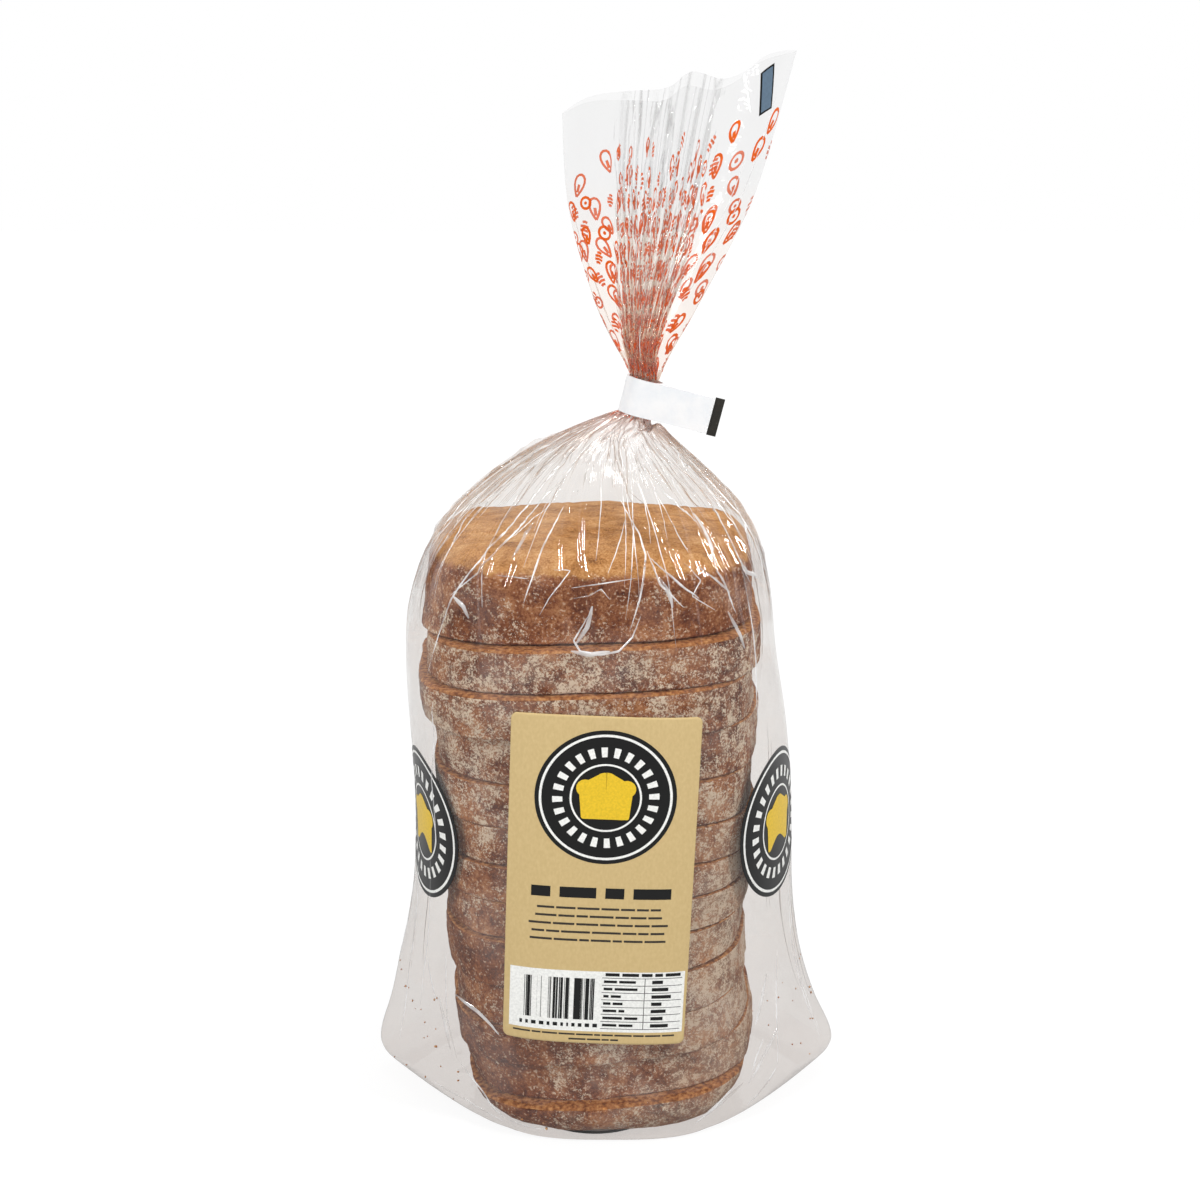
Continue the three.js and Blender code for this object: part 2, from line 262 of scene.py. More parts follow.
# %% Roundings and steps of a slice
TURNS = 430
CORNER_STEPS = 8
MIDDLE_Y = -1.0
RIM_ROUND = 1.1
WALL_STEP = 0.9
FACE_SHARES = [0.0, 0.3, 0.55, 0.75, 0.87, 0.93, 0.965, 0.985]
END_SHARES = np.linspace(0, 0.99, 64)
TOP_ROUND = 9.0
BOTTOM_ROUND = 12.5
TOP_DOME = 3.5
TOP_MIDDLE = (-3.0, -2.0)
TOP_HALF = (54.0, 47.0)
print("points round a slice", TURNS, "and", len(END_SHARES), "rings over the end that faces up")


# %% Rings of points of one slice
def slice_points(k):
    """Rings over one slice: its bottom face from the middle out, its wall, and its top face back in."""
    turn = 2 * np.pi * np.arange(TURNS) / TURNS
    right, forward, yaw = SLIDES[k]
    low = CUTS[k - 1] if k > 0 else LOAF_FOOT
    high = CUTS[k] if k < len(CUTS) else LOAF_HEIGHT
    steps = int((high - low) / WALL_STEP)
    rings = []

    def ring(share, height_share, inset):
        """One ring: its share of the full width, its height in the slice, and how far it is drawn in."""
        z_mean = low + (high - low) * height_share
        x, y = loaf_outline(turn, z_mean)
        centre = np.array([(along(LOAF_LEFT, z_mean) + along(LOAF_RIGHT, z_mean)) / 2, MIDDLE_Y])
        size = np.hypot(x - centre[0], y - centre[1])
        scale = share * (size - inset) / size
        x = centre[0] + (x - centre[0]) * scale
        y = centre[1] + (y - centre[1]) * scale
        bottom = cut_height(k - 1, x) + GAP / 2 if k > 0 else low + 0 * x
        top = cut_height(k, x) - GAP / 2 if k < len(CUTS) else high + 0 * x
        z = bottom + (top - bottom) * height_share
        rings.append(np.column_stack([x, y, z]))

    corner_low = BOTTOM_ROUND if k == 0 else RIM_ROUND
    corner_high = TOP_ROUND if k == len(CUTS) else RIM_ROUND
    for share in FACE_SHARES:
        ring(share, 0, corner_low)
    for step in range(CORNER_STEPS):
        bend = np.pi / 2 * step / CORNER_STEPS
        ring(1, corner_low * (1 - math.cos(bend)) / (high - low), corner_low * (1 - math.sin(bend)))
    inner_low = corner_low / (high - low)
    inner_high = 1 - corner_high / (high - low)
    for step in range(steps + 1):
        ring(1, inner_low + (inner_high - inner_low) * step / steps, 0)
    for step in range(1, CORNER_STEPS + 1):
        bend = np.pi / 2 * step / CORNER_STEPS
        ring(1, inner_high + corner_high * math.sin(bend) / (high - low), corner_high * (1 - math.cos(bend)))
    for share in (END_SHARES if k == len(CUTS) else FACE_SHARES)[::-1]:
        ring(share, 1, corner_high)
    points = np.array(rings)
    return points, (right, -forward, math.radians(yaw))


print("rings of a middle slice", len(slice_points(6)[0]))


# %% Bumps of the dough
CUT_FACE_SHARE = 0.8
END_FACE_SHARE = 0.65
TEAR_Y = -13.0
TEAR_HALF_WIDTH = 1.3


def displaced(points, k):
    """Adds the dough's bumps along each point's normal: heights in mm times noises of sizes in mm."""
    around = np.roll(points, -1, 1) - np.roll(points, 1, 1)
    up = np.gradient(points, axis=0)
    normal = np.cross(up, around)
    normal /= np.linalg.norm(normal, axis=2, keepdims=True) + 1e-9
    if (normal[points.shape[0] // 2] * (points[points.shape[0] // 2] - points[0, 0])).sum() < 0:
        normal = -normal
    flatter = END_FACE_SHARE if k in (0, len(CUTS)) else CUT_FACE_SHARE
    wall = 1 - smooth_step(np.abs(normal[..., 2]), 0.5, 0.95) * flatter
    bumps = 1.0 * noise(points, 24, 1) + 0.55 * noise(points, 10, 2) + 0.22 * noise(points, 4.2, 3 + k)
    fine = 0.12 * noise(points, 1.9, 30 + k)
    if k == len(CUTS):
        # The end crust has risen unevenly, with a line of small tears across it.
        on_top = smooth_step(points[..., 2], LOAF_HEIGHT - 5, LOAF_HEIGHT - 1)
        tear = points[..., 1] - TEAR_Y + 2.2 * noise(points, 9, 51)
        torn = np.exp(-(tear / TEAR_HALF_WIDTH) ** 2) * smooth_step(noise(points, 4.5, 52), -0.2, 0.3)
        torn = torn * smooth_step(np.abs(points[..., 0] + 4), 36, 24)
        swells = 0.9 * noise(points, 17, 53) + 0.4 * noise(points, 5, 54) + 0.3 * noise(points, 2.4, 55)
        fine = fine + on_top * (swells - 1.3 * torn)
    return points + normal * (bumps * wall + fine)[..., None]


def slice_shape(k):
    """The points of one slice where it lies in the bag."""
    points, (right, back, yaw) = slice_points(k)
    if k == len(CUTS):
        beside = (points[..., 0] - TOP_MIDDLE[0]) / TOP_HALF[0]
        behind = (points[..., 1] - TOP_MIDDLE[1]) / TOP_HALF[1]
        near = 1 - np.hypot(beside, behind) ** 2
        points[..., 2] += TOP_DOME * np.clip(near, 0, 1) * (points[..., 2] > LOAF_HEIGHT - TOP_ROUND - 1)
    points = displaced(points, k)
    cos, sin = math.cos(yaw), math.sin(yaw)
    x = points[..., 0] * cos - points[..., 1] * sin + right
    y = points[..., 0] * sin + points[..., 1] * cos + back
    return np.stack([x, y, points[..., 2]], -1)


print("a middle slice is deep, in mm", round(float(np.ptp(slice_shape(6)[..., 1])), 1))


# %% Crust round the wall, crumb on the faces
OPEN_RIMS = (0, 10, 11)
RIM_ROWS = 4
OPEN_RIM_ROWS = 7


def build_slice(k, points, crust, crumb):
    """One piece of bread; on an open rim the crumb reaches further down over the cut's edge."""
    faces = grid_faces(len(points), TURNS, True)[:, ::-1]
    piece = make_piece(f"slice_{k:02d}", points, faces, crust)
    piece.data.materials.append(crumb)
    rings_of_face = len(FACE_SHARES)
    kinds = np.zeros((len(points) - 1, TURNS), np.int32)
    if k > 0:
        kinds[:rings_of_face + 1] = 1
    if k < len(CUTS):
        rim_rows = OPEN_RIM_ROWS if k in OPEN_RIMS else RIM_ROWS
        kinds[-rings_of_face - rim_rows:] = 1
    piece.data.polygons.foreach_set("material_index", kinds.ravel())
    return piece


print("pieces with an open rim", OPEN_RIMS)

# %% [markdown]
# ## The baked crust
#
# Wholemeal crust is a reddish brown that changes over centimetres, with darker and lighter specks of
# bran in it. It could be one brown with a bump, but the eye reads bread by its grains, so noises of
# several true sizes are laid over each other: the broad browning, the bran, the flour and the fine
# blisters.

# %% Grains of the crust, by size in mm, detail and roughness
crust = new_material("floury_baked_wholemeal_crust")
crust_place = place_in_mm(crust)
crust_at = add(crust, "SeparateXYZ", [crust_place])
GRAINS = {
    "browning": (15, 2.0, 0.6),
    "blister": (3.2, 3.0, 0.6),
    "bran": (0.9, 3.0, 0.7),
    "flour": (0.7, 3.0, 0.75),
    "cluster": (2.2, 2.0, 0.6),
    "cloud": (9, 2.0, 0.6),
    "speck": (0.9, 0.0, 0.6),
    "glow": (5, 3.0, 0.6),
}
grain = {}
for name, (size, detail, roughness) in GRAINS.items():
    noise_settings = {"Vector": crust_place, "Scale": 1 / size, "Detail": detail, "Roughness": roughness}
    grain[name] = add(crust, "TexNoise", noise_settings)
print("grains of the crust", list(grain))

# %% The brown of the crust
bran_part = add(crust, "Math", [grain["bran"], 0.38], operation="MULTIPLY")
blister_part = add(crust, "Math", [grain["blister"], 0.27, bran_part], operation="MULTIPLY_ADD")
brown_tone = add(crust, "Math", [grain["browning"], 0.35, blister_part], operation="MULTIPLY_ADD")
brown = add(crust, "ValToRGB", [brown_tone], stops=[(0.4, "572814"), (0.5, "8A502E"), (0.6, "BA8156")])
print("browns", len(brown.color_ramp.elements))

# %% [markdown]
# ## Flour on the crust
#
# Flour was dusted on the dough before it was baked. It lies in flecks of about half a millimetre, thick
# in some places and nearly absent in others: there is little of it near the top heel's edge and low
# down on the left, more low down on the right, and hardly any where the tin touched the loaf. Each of
# these is one fade along X, Y or Z that is added to the amount of flour, and the flecks show where the
# amount is large. Real grains scattered by the thousand would be heavy and look the same from here.

# %% Where the flour lies
flour_part = add(crust, "Math", [grain["flour"], 1.5], operation="MULTIPLY")
cluster_part = add(crust, "Math", [grain["cluster"], 0.8, flour_part], operation="MULTIPLY_ADD")
cloud_part = add(crust, "Math", [grain["cloud"], 0.75, 0.125], operation="MULTIPLY_ADD")
x, y, z = crust_at.outputs
near_top = add(crust, "MapRange", [z, 180.0, 167.0, -0.2, 0.0])
at_foot = add(crust, "MapRange", [z, 24.0, 46.0, -0.07, 0.0])
from_tin = add(crust, "MapRange", [y, -8.0, 16.0, 0.0, -0.24])
low_down = add(crust, "MapRange", [z, 78.0, 104.0, 1.0, 0.0])
less_on_left = add(crust, "MapRange", [x, -28.0, -6.0, -0.16, 0.0])
low_left = add(crust, "Math", [low_down, less_on_left], operation="MULTIPLY")
below_middle = add(crust, "MapRange", [z, 120.0, 100.0, 0.0, 1.0])
more_on_right = add(crust, "MapRange", [x, 12.0, 34.0, 0.0, 0.06])
low_right = add(crust, "Math", [below_middle, more_on_right], operation="MULTIPLY")
fades = (near_top, from_tin, low_left, low_right)
dusting = cloud_part
for change in fades:
    dusting = add(crust, "Math", [dusting, change], operation="ADD")
amount = dusting
for change in (cluster_part, at_foot):
    amount = add(crust, "Math", [amount, change], operation="ADD")
print("fades of the flour", len(fades) + 1)

# %% Flour over the brown
# Flecks of flour, a few single ones between them, and a thin veil where it was dusted most.
FLOUR = "EADAC3"
FLOUR_FILM = "C9AD94"
flecks = add(crust, "MapRange", [amount, 1.65, 1.83, 0.0, 0.95])
single_flecks = add(crust, "MapRange", [grain["speck"], 0.69, 0.77, 0.0, 0.5])
flour = add(crust, "Math", [flecks, single_flecks], operation="MAXIMUM")
dusted = add(crust, "Mix", {"Factor": flour, "A": brown, "B": linear(FLOUR)}, data_type="RGBA")
thin_cover = add(crust, "Math", [low_right, 2.2, dusting], operation="MULTIPLY_ADD")
thin_flour = add(crust, "MapRange", [thin_cover, 0.46, 0.72, 0.0, 0.42])
dusty = add(crust, "Mix", {"Factor": thin_flour, "A": dusted, "B": linear(FLOUR_FILM)}, data_type="RGBA")
print("flour", FLOUR, "over", FLOUR_FILM)

# %% The golden end crust
# The end that faces up was baked without flour on it. It is golden, down to a ragged edge.
GOLDEN_DOWN_TO = 188.5
GOLDS = [(0.36, "6A3D18"), (0.43, "A46F38"), (0.52, "C68F54"), (0.64, "DFB57F")]
glow_part = add(crust, "Math", [grain["glow"], 0.3], operation="MULTIPLY")
glow_part = add(crust, "Math", [grain["flour"], 0.5, glow_part], operation="MULTIPLY_ADD")
glow = add(crust, "Math", [grain["browning"], 0.2, glow_part], operation="MULTIPLY_ADD")
gold = add(crust, "ValToRGB", [glow], stops=GOLDS)
ragged = add(crust, "Math", [grain["blister"], 6.0, GOLDEN_DOWN_TO], operation="MULTIPLY_ADD")
over_edge = add(crust, "Math", [z, ragged], operation="SUBTRACT")
baked_end = add(crust, "MapRange", [over_edge, -0.5, 0.9, 0.0, 1.0])
whole_crust = add(crust, "Mix", {"Factor": baked_end, "A": dusty, "B": gold}, data_type="RGBA")
print("golden above", GOLDEN_DOWN_TO, "mm")

# %% The crust's surface
# Bread is matt: a rough surface with little gloss, and pits and blisters under a millimetre deep.
pits = add(crust, "Math", [grain["blister"], 0.8], operation="MULTIPLY")
relief = add(crust, "Math", [grain["bran"], 0.6, pits], operation="MULTIPLY_ADD")
crust_bump = add(crust, "Bump", {"Strength": 0.7, "Distance": 0.0006, "Height": relief})
crust_surface = add(crust, "BsdfPrincipled", {"Base Color": whole_crust, "Roughness": 0.82,
                                              "Specular IOR Level": 0.2, "Normal": crust_bump})
add(crust, "OutputMaterial", [crust_surface])
print("nodes of the crust", len(crust.node_tree.nodes))

# %% [markdown]
# ## Broken bread
#
# The faces of the cuts and their rims are crumb: open, matt and lighter than the crust. Real pores
# could be carved into the mesh, but only thin rims of crumb show, so one noise gives both its browns
# and its pores. The toasted crumbs that have fallen off are the same thing, a little more golden.


# %% Crumb
PORE = 1.4


def crumb_material(name, dark, middle, light):
    """Broken bread in three browns: a matt surface of pores, which takes the light softly."""
    crumb = new_material(name)
    pores = add(crumb, "TexNoise", {"Vector": place_in_mm(crumb), "Scale": 1 / PORE, "Detail": 3.0})
    tan = add(crumb, "ValToRGB", [pores], stops=[(0.35, dark), (0.5, middle), (0.68, light)])
    bump = add(crumb, "Bump", {"Strength": 0.6, "Distance": 0.0005, "Height": pores})
    surface = add(crumb, "BsdfPrincipled", {"Base Color": tan, "Roughness": 0.85, "Normal": bump,
                                            "Specular IOR Level": 0.25})
    add(crumb, "OutputMaterial", [surface])
    return crumb


wholemeal_crumb = crumb_material("wholemeal_crumb", "7C4825", "AC7040", "D19A63")
toasted_crumb = crumb_material("toasted_crumb", "B86A34", "D68F50", "E8B679")
print("pores in mm", PORE)

# %% The thirteen pieces of the loaf
slice_shapes = [slice_shape(k) for k in range(len(CUTS) + 1)]
for k, shape in enumerate(slice_shapes):
    build_slice(k, shape, crust, wholemeal_crumb)
print("slices", len(slice_shapes), "points of one", slice_shapes[4].size // 3)

# %% [markdown]
# ## The film's measured outline
#
# Seen from the front, the film stands off the loaf at both sides and ends in two ears, where the folded
# bottom sticks out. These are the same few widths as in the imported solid.

# %% Widths of the film along its height
FILM_LEFT = [(0, -67), (4, -75.5), (12, -79), (30, -74), (46, -70.5), (61, -67), (84, -64.5), (109, -63.8),
             (131, -65), (159, -65.8), (173, -65), (187, -62.9), (200, -58.3), (207, -53.5), (213, -46.5),
             (220, -38), (226, -28), (231.5, -13)]
FILM_RIGHT = [(0, 70.5), (4, 79), (12, 83.5), (30, 76), (46, 71), (61, 68.4), (84, 67.4), (109, 66.3),
              (131, 64), (159, 59.3), (173, 58.4), (187, 56.4), (200, 52.1), (207, 48), (213, 41.4),
              (220, 33), (226, 26.7), (231.5, 20.5)]
FILM_FRONT = [(0, -45.5), (4, -47), (40, -48.5), (100, -49.3), (150, -48.8), (180, -47.5), (195, -44),
              (207, -37.5), (213, -32.5), (220, -25), (226, -17.5), (231.5, -10.5)]
FILM_BACK = [(0, 44.5), (4, 46), (40, 47), (150, 47), (180, 46), (195, 42.5), (207, 36), (213, 31),
             (220, 24), (226, 17), (231.5, 10.5)]
SQUARE_FRONT = [(0, 3.3), (14, 3.1), (60, 3.1), (185, 3.1), (207, 2.4), (230, 2)]
SQUARE_BACK = [(0, 3.3), (14, 3.8), (60, 4.2), (185, 4.2), (207, 2.6), (230, 2)]
# The share of the half depth over which the film tapers to its edge at each side.
FIN_REACH = 0.86
SHOULDER_BLEND = 12.0
print("widest at the ears, mm", max(x for _, x in FILM_RIGHT) - min(x for _, x in FILM_LEFT))

# %% The neck and the flare, by the share of the flare's own length
TIE_CENTRE = np.array([13.2, 0, 240.3])
TIE_TILT = math.radians(14)
NECK_HALF = (5.2, 4.8)
NECK_STRAIGHT = 7.2
FLARE_BASE = 248.0
FLARE_RISE = 86.5
FLARE_LEFT = [(0, 8.2), (0.09, 3.4), (0.21, -1), (0.38, -5.6), (0.55, -9.4), (0.72, -11.6), (0.9, -12.4),
              (1, -12.4)]
FLARE_RIGHT = [(0, 20), (0.09, 23.4), (0.18, 29), (0.32, 36.8), (0.44, 43), (0.56, 48.6), (0.7, 53),
               (0.86, 57.2), (1, 61)]
FLARE_DEPTH = [(0, 5), (0.1, 7), (0.25, 9.6), (0.5, 13), (0.75, 15.5), (1, 17)]
# The flare's rings are tilted like the tape at its foot, and level from this share of its length up.
LEVEL_FROM = 0.3
# The rim's height in mm across its width, and how much lower it is at the back.
RIM = [(0, -9.5), (0.12, -3.5), (0.3, -1.8), (0.45, -0.5), (0.53, 4.5), (0.66, 2.2), (0.78, 5),
       (0.83, 10.5), (1, 12.5)]
RIM_BACK_DROP = 3.5
# Shares of the flare's width, right and left, where the film lies flat. Its spare width folds between them.
FLAT_PANELS = (0.34, 0.28)
FILM_ROUND = 388.0
print("flare at the mouth, mm wide", FLARE_RIGHT[-1][1] - FLARE_LEFT[-1][1])


# %% Sections of the film
EDGE_STEPS = 1200


def half_section(box, square, side, count, spread=None):
    """One half of a section, from the right edge to the left one (front) or back again (back)."""
    t = np.pi * np.arange(EDGE_STEPS + 1) / EDGE_STEPS
    c = -side * np.cos(t)
    depth = np.abs(np.sin(t)) ** (2 / square)
    core = np.where(c > 0, box["core_right"], box["core_left"])
    edge = np.where(c > 0, box["right"], box["left"])
    middle = (box["left"] + box["right"]) / 2
    fin = np.maximum(0, 1 - depth / FIN_REACH)
    x = middle + np.abs(c) ** (2 / square) * (core - middle) + fin * (edge - core)
    y = side * depth * box["depth_front" if side < 0 else "depth_back"]
    run = np.concatenate([[0], np.cumsum(np.hypot(np.diff(x), np.diff(y)))])
    share = np.arange(count) / count
    if spread:
        film_half = FILM_ROUND / 2
        first, last = spread if side < 0 else spread[::-1]
        share = np.interp(share, [0, first * run[-1] / film_half, 1 - last * run[-1] / film_half, 1],
                          [0, first, 1 - last, 1])
    goal = run[-1] * share
    return np.stack([np.interp(goal, run, x), np.interp(goal, run, y)], 1)


def section(left, right, front, back, core_left, core_right, square_front, square_back, count, spread=None):
    """A whole section, a rounded rectangle round the core that tapers out to the film's edges."""
    box = dict(left=left, right=right, core_left=core_left, core_right=core_right, depth_front=-front,
               depth_back=back)
    return np.concatenate([half_section(box, square_front, -1, count // 2, spread),
                           half_section(box, square_back, 1, count // 2, spread)])


print("the neck's section has points", len(section(-5, 5, -5, 5, -5, 5, 2, 2, 16)))

# %% The smooth shape that the sections make
RING_STEP = 1.5
BODY_TOP = FILM_LEFT[-1][0]
FLARE_RINGS = 50


def body_ring(z, count):
    """The film round the loaf at one height."""
    left, right = along(FILM_LEFT, z), along(FILM_RIGHT, z)
    over = smooth_step(z, LOAF_HEIGHT - SHOULDER_BLEND, LOAF_HEIGHT + SHOULDER_BLEND)
    core_left = along(LOAF_LEFT, z) * (1 - over) + left * over
    core_right = along(LOAF_RIGHT, z) * (1 - over) + right * over
    xy = section(left, right, along(FILM_FRONT, z), along(FILM_BACK, z), core_left, core_right,
                 along(SQUARE_FRONT, z), along(SQUARE_BACK, z), count)
    return np.column_stack([xy, np.full(count, z)])


def neck_ring(rise, count):
    """The film inside the tape, at a distance along the neck from its middle."""
    half_x, half_y = NECK_HALF
    x, y = section(-half_x, half_x, -half_y, half_y, -half_x, half_x, 2, 2, count).T
    along_neck = x * math.cos(TIE_TILT) + rise * math.sin(TIE_TILT)
    return np.column_stack([along_neck, y, rise * math.cos(TIE_TILT) - x * math.sin(TIE_TILT)]) + TIE_CENTRE


def flare_ring(share, count):
    """The film above the tape, at a share of the flare's length."""
    left, right, depth = along(FLARE_LEFT, share), along(FLARE_RIGHT, share), along(FLARE_DEPTH, share)
    x, y = section(left, right, -depth, depth, left, right, 2, 2, count, FLAT_PANELS).T
    tilt = TIE_TILT * (1 - smooth_step(share, 0, LEVEL_FROM))
    across = np.clip((x - left) / (right - left), 0, 1)
    rim = along(RIM, across) - (y > 0) * RIM_BACK_DROP * (1 - np.abs(2 * across - 1))
    z = FLARE_BASE + share * FLARE_RISE + rim * share ** 1.5 - (x - (left + right) / 2) * np.tan(tilt)
    return np.column_stack([x, y, z])


def smooth_film(rows, columns):
    """The film without folds, as a grid with even steps up its length, and each row's way along it."""
    rings = [body_ring(z, columns) for z in np.append(np.arange(0, BODY_TOP - 0.5, RING_STEP), BODY_TOP)]
    rings += [neck_ring(rise, columns) for rise in (-NECK_STRAIGHT, -4, 0, 4, NECK_STRAIGHT)]
    rings += [flare_ring(share, columns) for share in np.linspace(0.03, 1, FLARE_RINGS)]
    rings = np.array(rings)
    step = np.linalg.norm(np.diff(rings, axis=0), axis=2).mean(1)
    run = np.concatenate([[0], np.cumsum(step)])
    goal = np.linspace(0, run[-1], rows)
    k = np.clip(np.searchsorted(run, goal, "right") - 1, 0, len(run) - 2)
    t = ((goal - run[k]) / (run[k + 1] - run[k]))[:, None, None]
    return np.round(rings[k] * (1 - t) + rings[k + 1] * t, 6), goal


half_way = body_ring(LOAF_HEIGHT / 2, 400)
girth = np.linalg.norm(half_way - np.roll(half_way, 1, 0), axis=1).sum()
print("girth of the smooth shape half way up the loaf, mm", round(float(girth)))

# %% [markdown]
# ## Folding the film
#
# The bag is a tube of film with the same width all the way up, about 388 mm round. Where it has to go
# round less than that, at the shoulders, in the neck and in the flare, the spare width must fold. Folds
# could be drawn by hand, but real ones come from this one fact, so the film is relaxed instead: a grid
# of points starts on the smooth shape, and in many small steps each pair of neighbours is moved back to
# its true distance, while the loaf and the table push the film out and the tape holds the neck in. It
# starts on a coarse grid, for the large folds, and goes on on finer ones. Only plain arithmetic is
# used, so the result is the same on every run.

# %% The room that the loaf takes
TURN_STEPS = 256
LEVEL_STEP = 2.0
TOP_MARGIN = 8.0


def diamond(x, y):
    """A number from 0 to 4 that grows with the direction of x and y."""
    share = y / (np.abs(x) + np.abs(y) + 1e-9)
    return np.where(x >= 0, np.where(y >= 0, share, 4 + share), 2 - share)


def loaf_radii(points):
    """The loaf's greatest radius by height and direction, and its middle at each height."""
    levels = np.arange(0, LOAF_HEIGHT + TOP_MARGIN, LEVEL_STEP)
    middle = np.round((along(LOAF_LEFT, levels) + along(LOAF_RIGHT, levels)) / 2, 6)
    radii = np.zeros((len(levels), TURN_STEPS))
    x, y, z = points.T
    row = np.clip(np.round(z / LEVEL_STEP).astype(int), 0, len(levels) - 1)
    beside = x - middle[row]
    column = (diamond(beside, y) / 4 * TURN_STEPS).astype(int) % TURN_STEPS
    np.maximum.at(radii, (row, column), np.sqrt(beside * beside + y * y))
    for around in radii:
        # The bread's points are far apart in the middle of its flat sides, so gaps are filled in.
        found = np.flatnonzero(around)
        if len(found):
            around[:] = np.interp(np.arange(TURN_STEPS), found, around[found], period=TURN_STEPS)
    for shift in (-1, 1):
        radii = np.maximum(radii, np.roll(radii, shift, 1))
    radii[1:-1] = np.maximum(radii[1:-1], np.minimum(radii[2:], radii[:-2]))
    return np.round(np.column_stack([radii, radii[:, 0]]), 6), middle


LOAF_RADII, LOAF_MIDDLE = loaf_radii(np.concatenate([shape.reshape(-1, 3) for shape in slice_shapes]))
print("loaf's radii in mm", round(LOAF_RADII[4:-8].min(), 1), "to", round(LOAF_RADII.max(), 1))

# %% Where the label lies
LABEL_WIDTH = 58.6
LABEL_HEIGHT = 111.6
LABEL_TURN = math.radians(-2.3)
LABEL_MIDDLE = (0.0, 94.4)
LABEL_OFF_FILM = 0.25
LABEL_PROUD = 1.6
LABEL_PAST_LOAF = 2.0


def label_depth(x, z):
    """Y of the label's back at a place seen from the front."""
    half = np.where(x > 0, along(LOAF_RIGHT, z), -along(LOAF_LEFT, z)) + LABEL_PAST_LOAF
    square = along(SQUARE_FRONT, z)
    share = np.clip(np.abs(x) / half, 0, 0.98)
    return (along(FILM_FRONT, z) - LABEL_PROUD) * (1 - share ** square) ** (1 / square)


def label_reach(x, z):
    """How far inside the label's outline a place lies, in mm."""
    cos, sin = math.cos(LABEL_TURN), math.sin(LABEL_TURN)
    a = (x - LABEL_MIDDLE[0]) * cos + (z - LABEL_MIDDLE[1]) * sin
    b = (z - LABEL_MIDDLE[1]) * cos - (x - LABEL_MIDDLE[0]) * sin
    return np.minimum(LABEL_WIDTH / 2 - np.abs(a), LABEL_HEIGHT / 2 - np.abs(b))


print("label's middle lies at Y", round(float(label_depth(*LABEL_MIDDLE)), 1))

# %% What the film can't pass through
CLEARANCE = 0.6
FILM_OFF_FLOOR = 0.3
# Within this distance of the middle, the film also stays above the loaf's top.
TOP_RADIUS = 38.0


def push_out(film):
    """Moves the film's points out of the loaf and up from the table."""
    x, y, z = film[..., 0], film[..., 1], film[..., 2]
    level = np.clip(z / LEVEL_STEP, 0, len(LOAF_MIDDLE) - 1.001)
    row = level.astype(int)
    up = level - row
    middle = LOAF_MIDDLE[row] * (1 - up) + LOAF_MIDDLE[row + 1] * up
    beside = x - middle
    way = diamond(beside, y) / 4 * TURN_STEPS
    column = np.minimum(way.astype(int), TURN_STEPS - 1)
    on = way - column
    lower = LOAF_RADII[row, column] * (1 - on) + LOAF_RADII[row, column + 1] * on
    upper = LOAF_RADII[row + 1, column] * (1 - on) + LOAF_RADII[row + 1, column + 1] * on
    least = lower * (1 - up) + upper * up + CLEARANCE
    radius = np.sqrt(beside * beside + y * y) + 1e-9
    out = np.where((z < LOAF_HEIGHT) & (radius < least), least / radius, 1.0)
    film[..., 0] = middle + beside * out
    film[..., 1] = y * out
    over = (z > LOAF_HEIGHT - TOP_MARGIN) & (beside * beside + y * y < TOP_RADIUS ** 2)
    film[..., 2] = np.maximum(np.where(over, np.maximum(z, LOAF_HEIGHT + TOP_DOME), z), FILM_OFF_FLOOR)


print("room between bread and film, mm", CLEARANCE)

# %% What holds the film
# Ways up the film between which it is stuck to the label, how far past the label's edge it is drawn in,
# and how strongly the rows inside the tape go back to their places.
BEHIND_LABEL = (25.0, 165.0)
STUCK_BEYOND = 3.0
NECK_SPRING = 0.3


def hold_label(film, run):
    """The film's front is stuck to the label's back."""
    rows = np.flatnonzero((run > BEHIND_LABEL[0]) & (run < BEHIND_LABEL[1]))
    front = film[rows[0]:rows[-1], :film.shape[1] // 2]
    x, y, z = front[..., 0], front[..., 1], front[..., 2]
    stuck = np.clip((label_reach(x, z) + STUCK_BEYOND) / STUCK_BEYOND, 0, 1) * (y < -20)
    front[..., 1] += stuck * (label_depth(x, z) + LABEL_OFF_FILM - y)


def hold_neck(film, run, low, high):
    """Keeps the rows inside the tape within the neck."""
    rows = (run >= low) & (run <= high)
    axis = np.round(np.array([math.sin(TIE_TILT), 0, math.cos(TIE_TILT)]), 9)
    away = film[rows] - TIE_CENTRE
    rise = (away[..., 0] * axis[0] + away[..., 2] * axis[2])[..., None]
    radial = away - rise * axis
    radius = np.sqrt((radial * radial).sum(2, keepdims=True)) + 1e-9
    wanted = (run[rows] - (low + high) / 2)[:, None, None]
    inward = np.minimum(1, NECK_HALF[1] / radius)
    rise = (1 - NECK_SPRING) * rise + NECK_SPRING * wanted
    film[rows] = TIE_CENTRE + rise * axis + radial * inward


print("the film is held from", BEHIND_LABEL[0], "to", BEHIND_LABEL[1], "mm by the label, and by the tape")


# %% Film keeps its size: one step of the relaxation
def keep_round(film, width, strength):
    """Neighbours round the bag go back to their distance, even pairs first and then odd ones."""
    columns = np.arange(film.shape[1])
    for first in (0, 1):
        here = columns[first::2]
        beside = (here + 1) % film.shape[1]
        apart = film[:, beside] - film[:, here]
        length = np.sqrt((apart * apart).sum(2, keepdims=True)) + 1e-9
        move = 0.5 * strength * (1 - width / length) * apart
        film[:, here] += move
        film[:, beside] -= move


def keep_long(film, height, strength):
    """The same for neighbours along the bag."""
    for first in (0, 1):
        apart = film[first + 1::2] - film[first:-1:2]
        length = np.sqrt((apart * apart).sum(2, keepdims=True)) + 1e-9
        move = 0.5 * strength * (1 - height[first::2] / length) * apart
        film[first:-1:2] += move
        film[first + 1::2] -= move


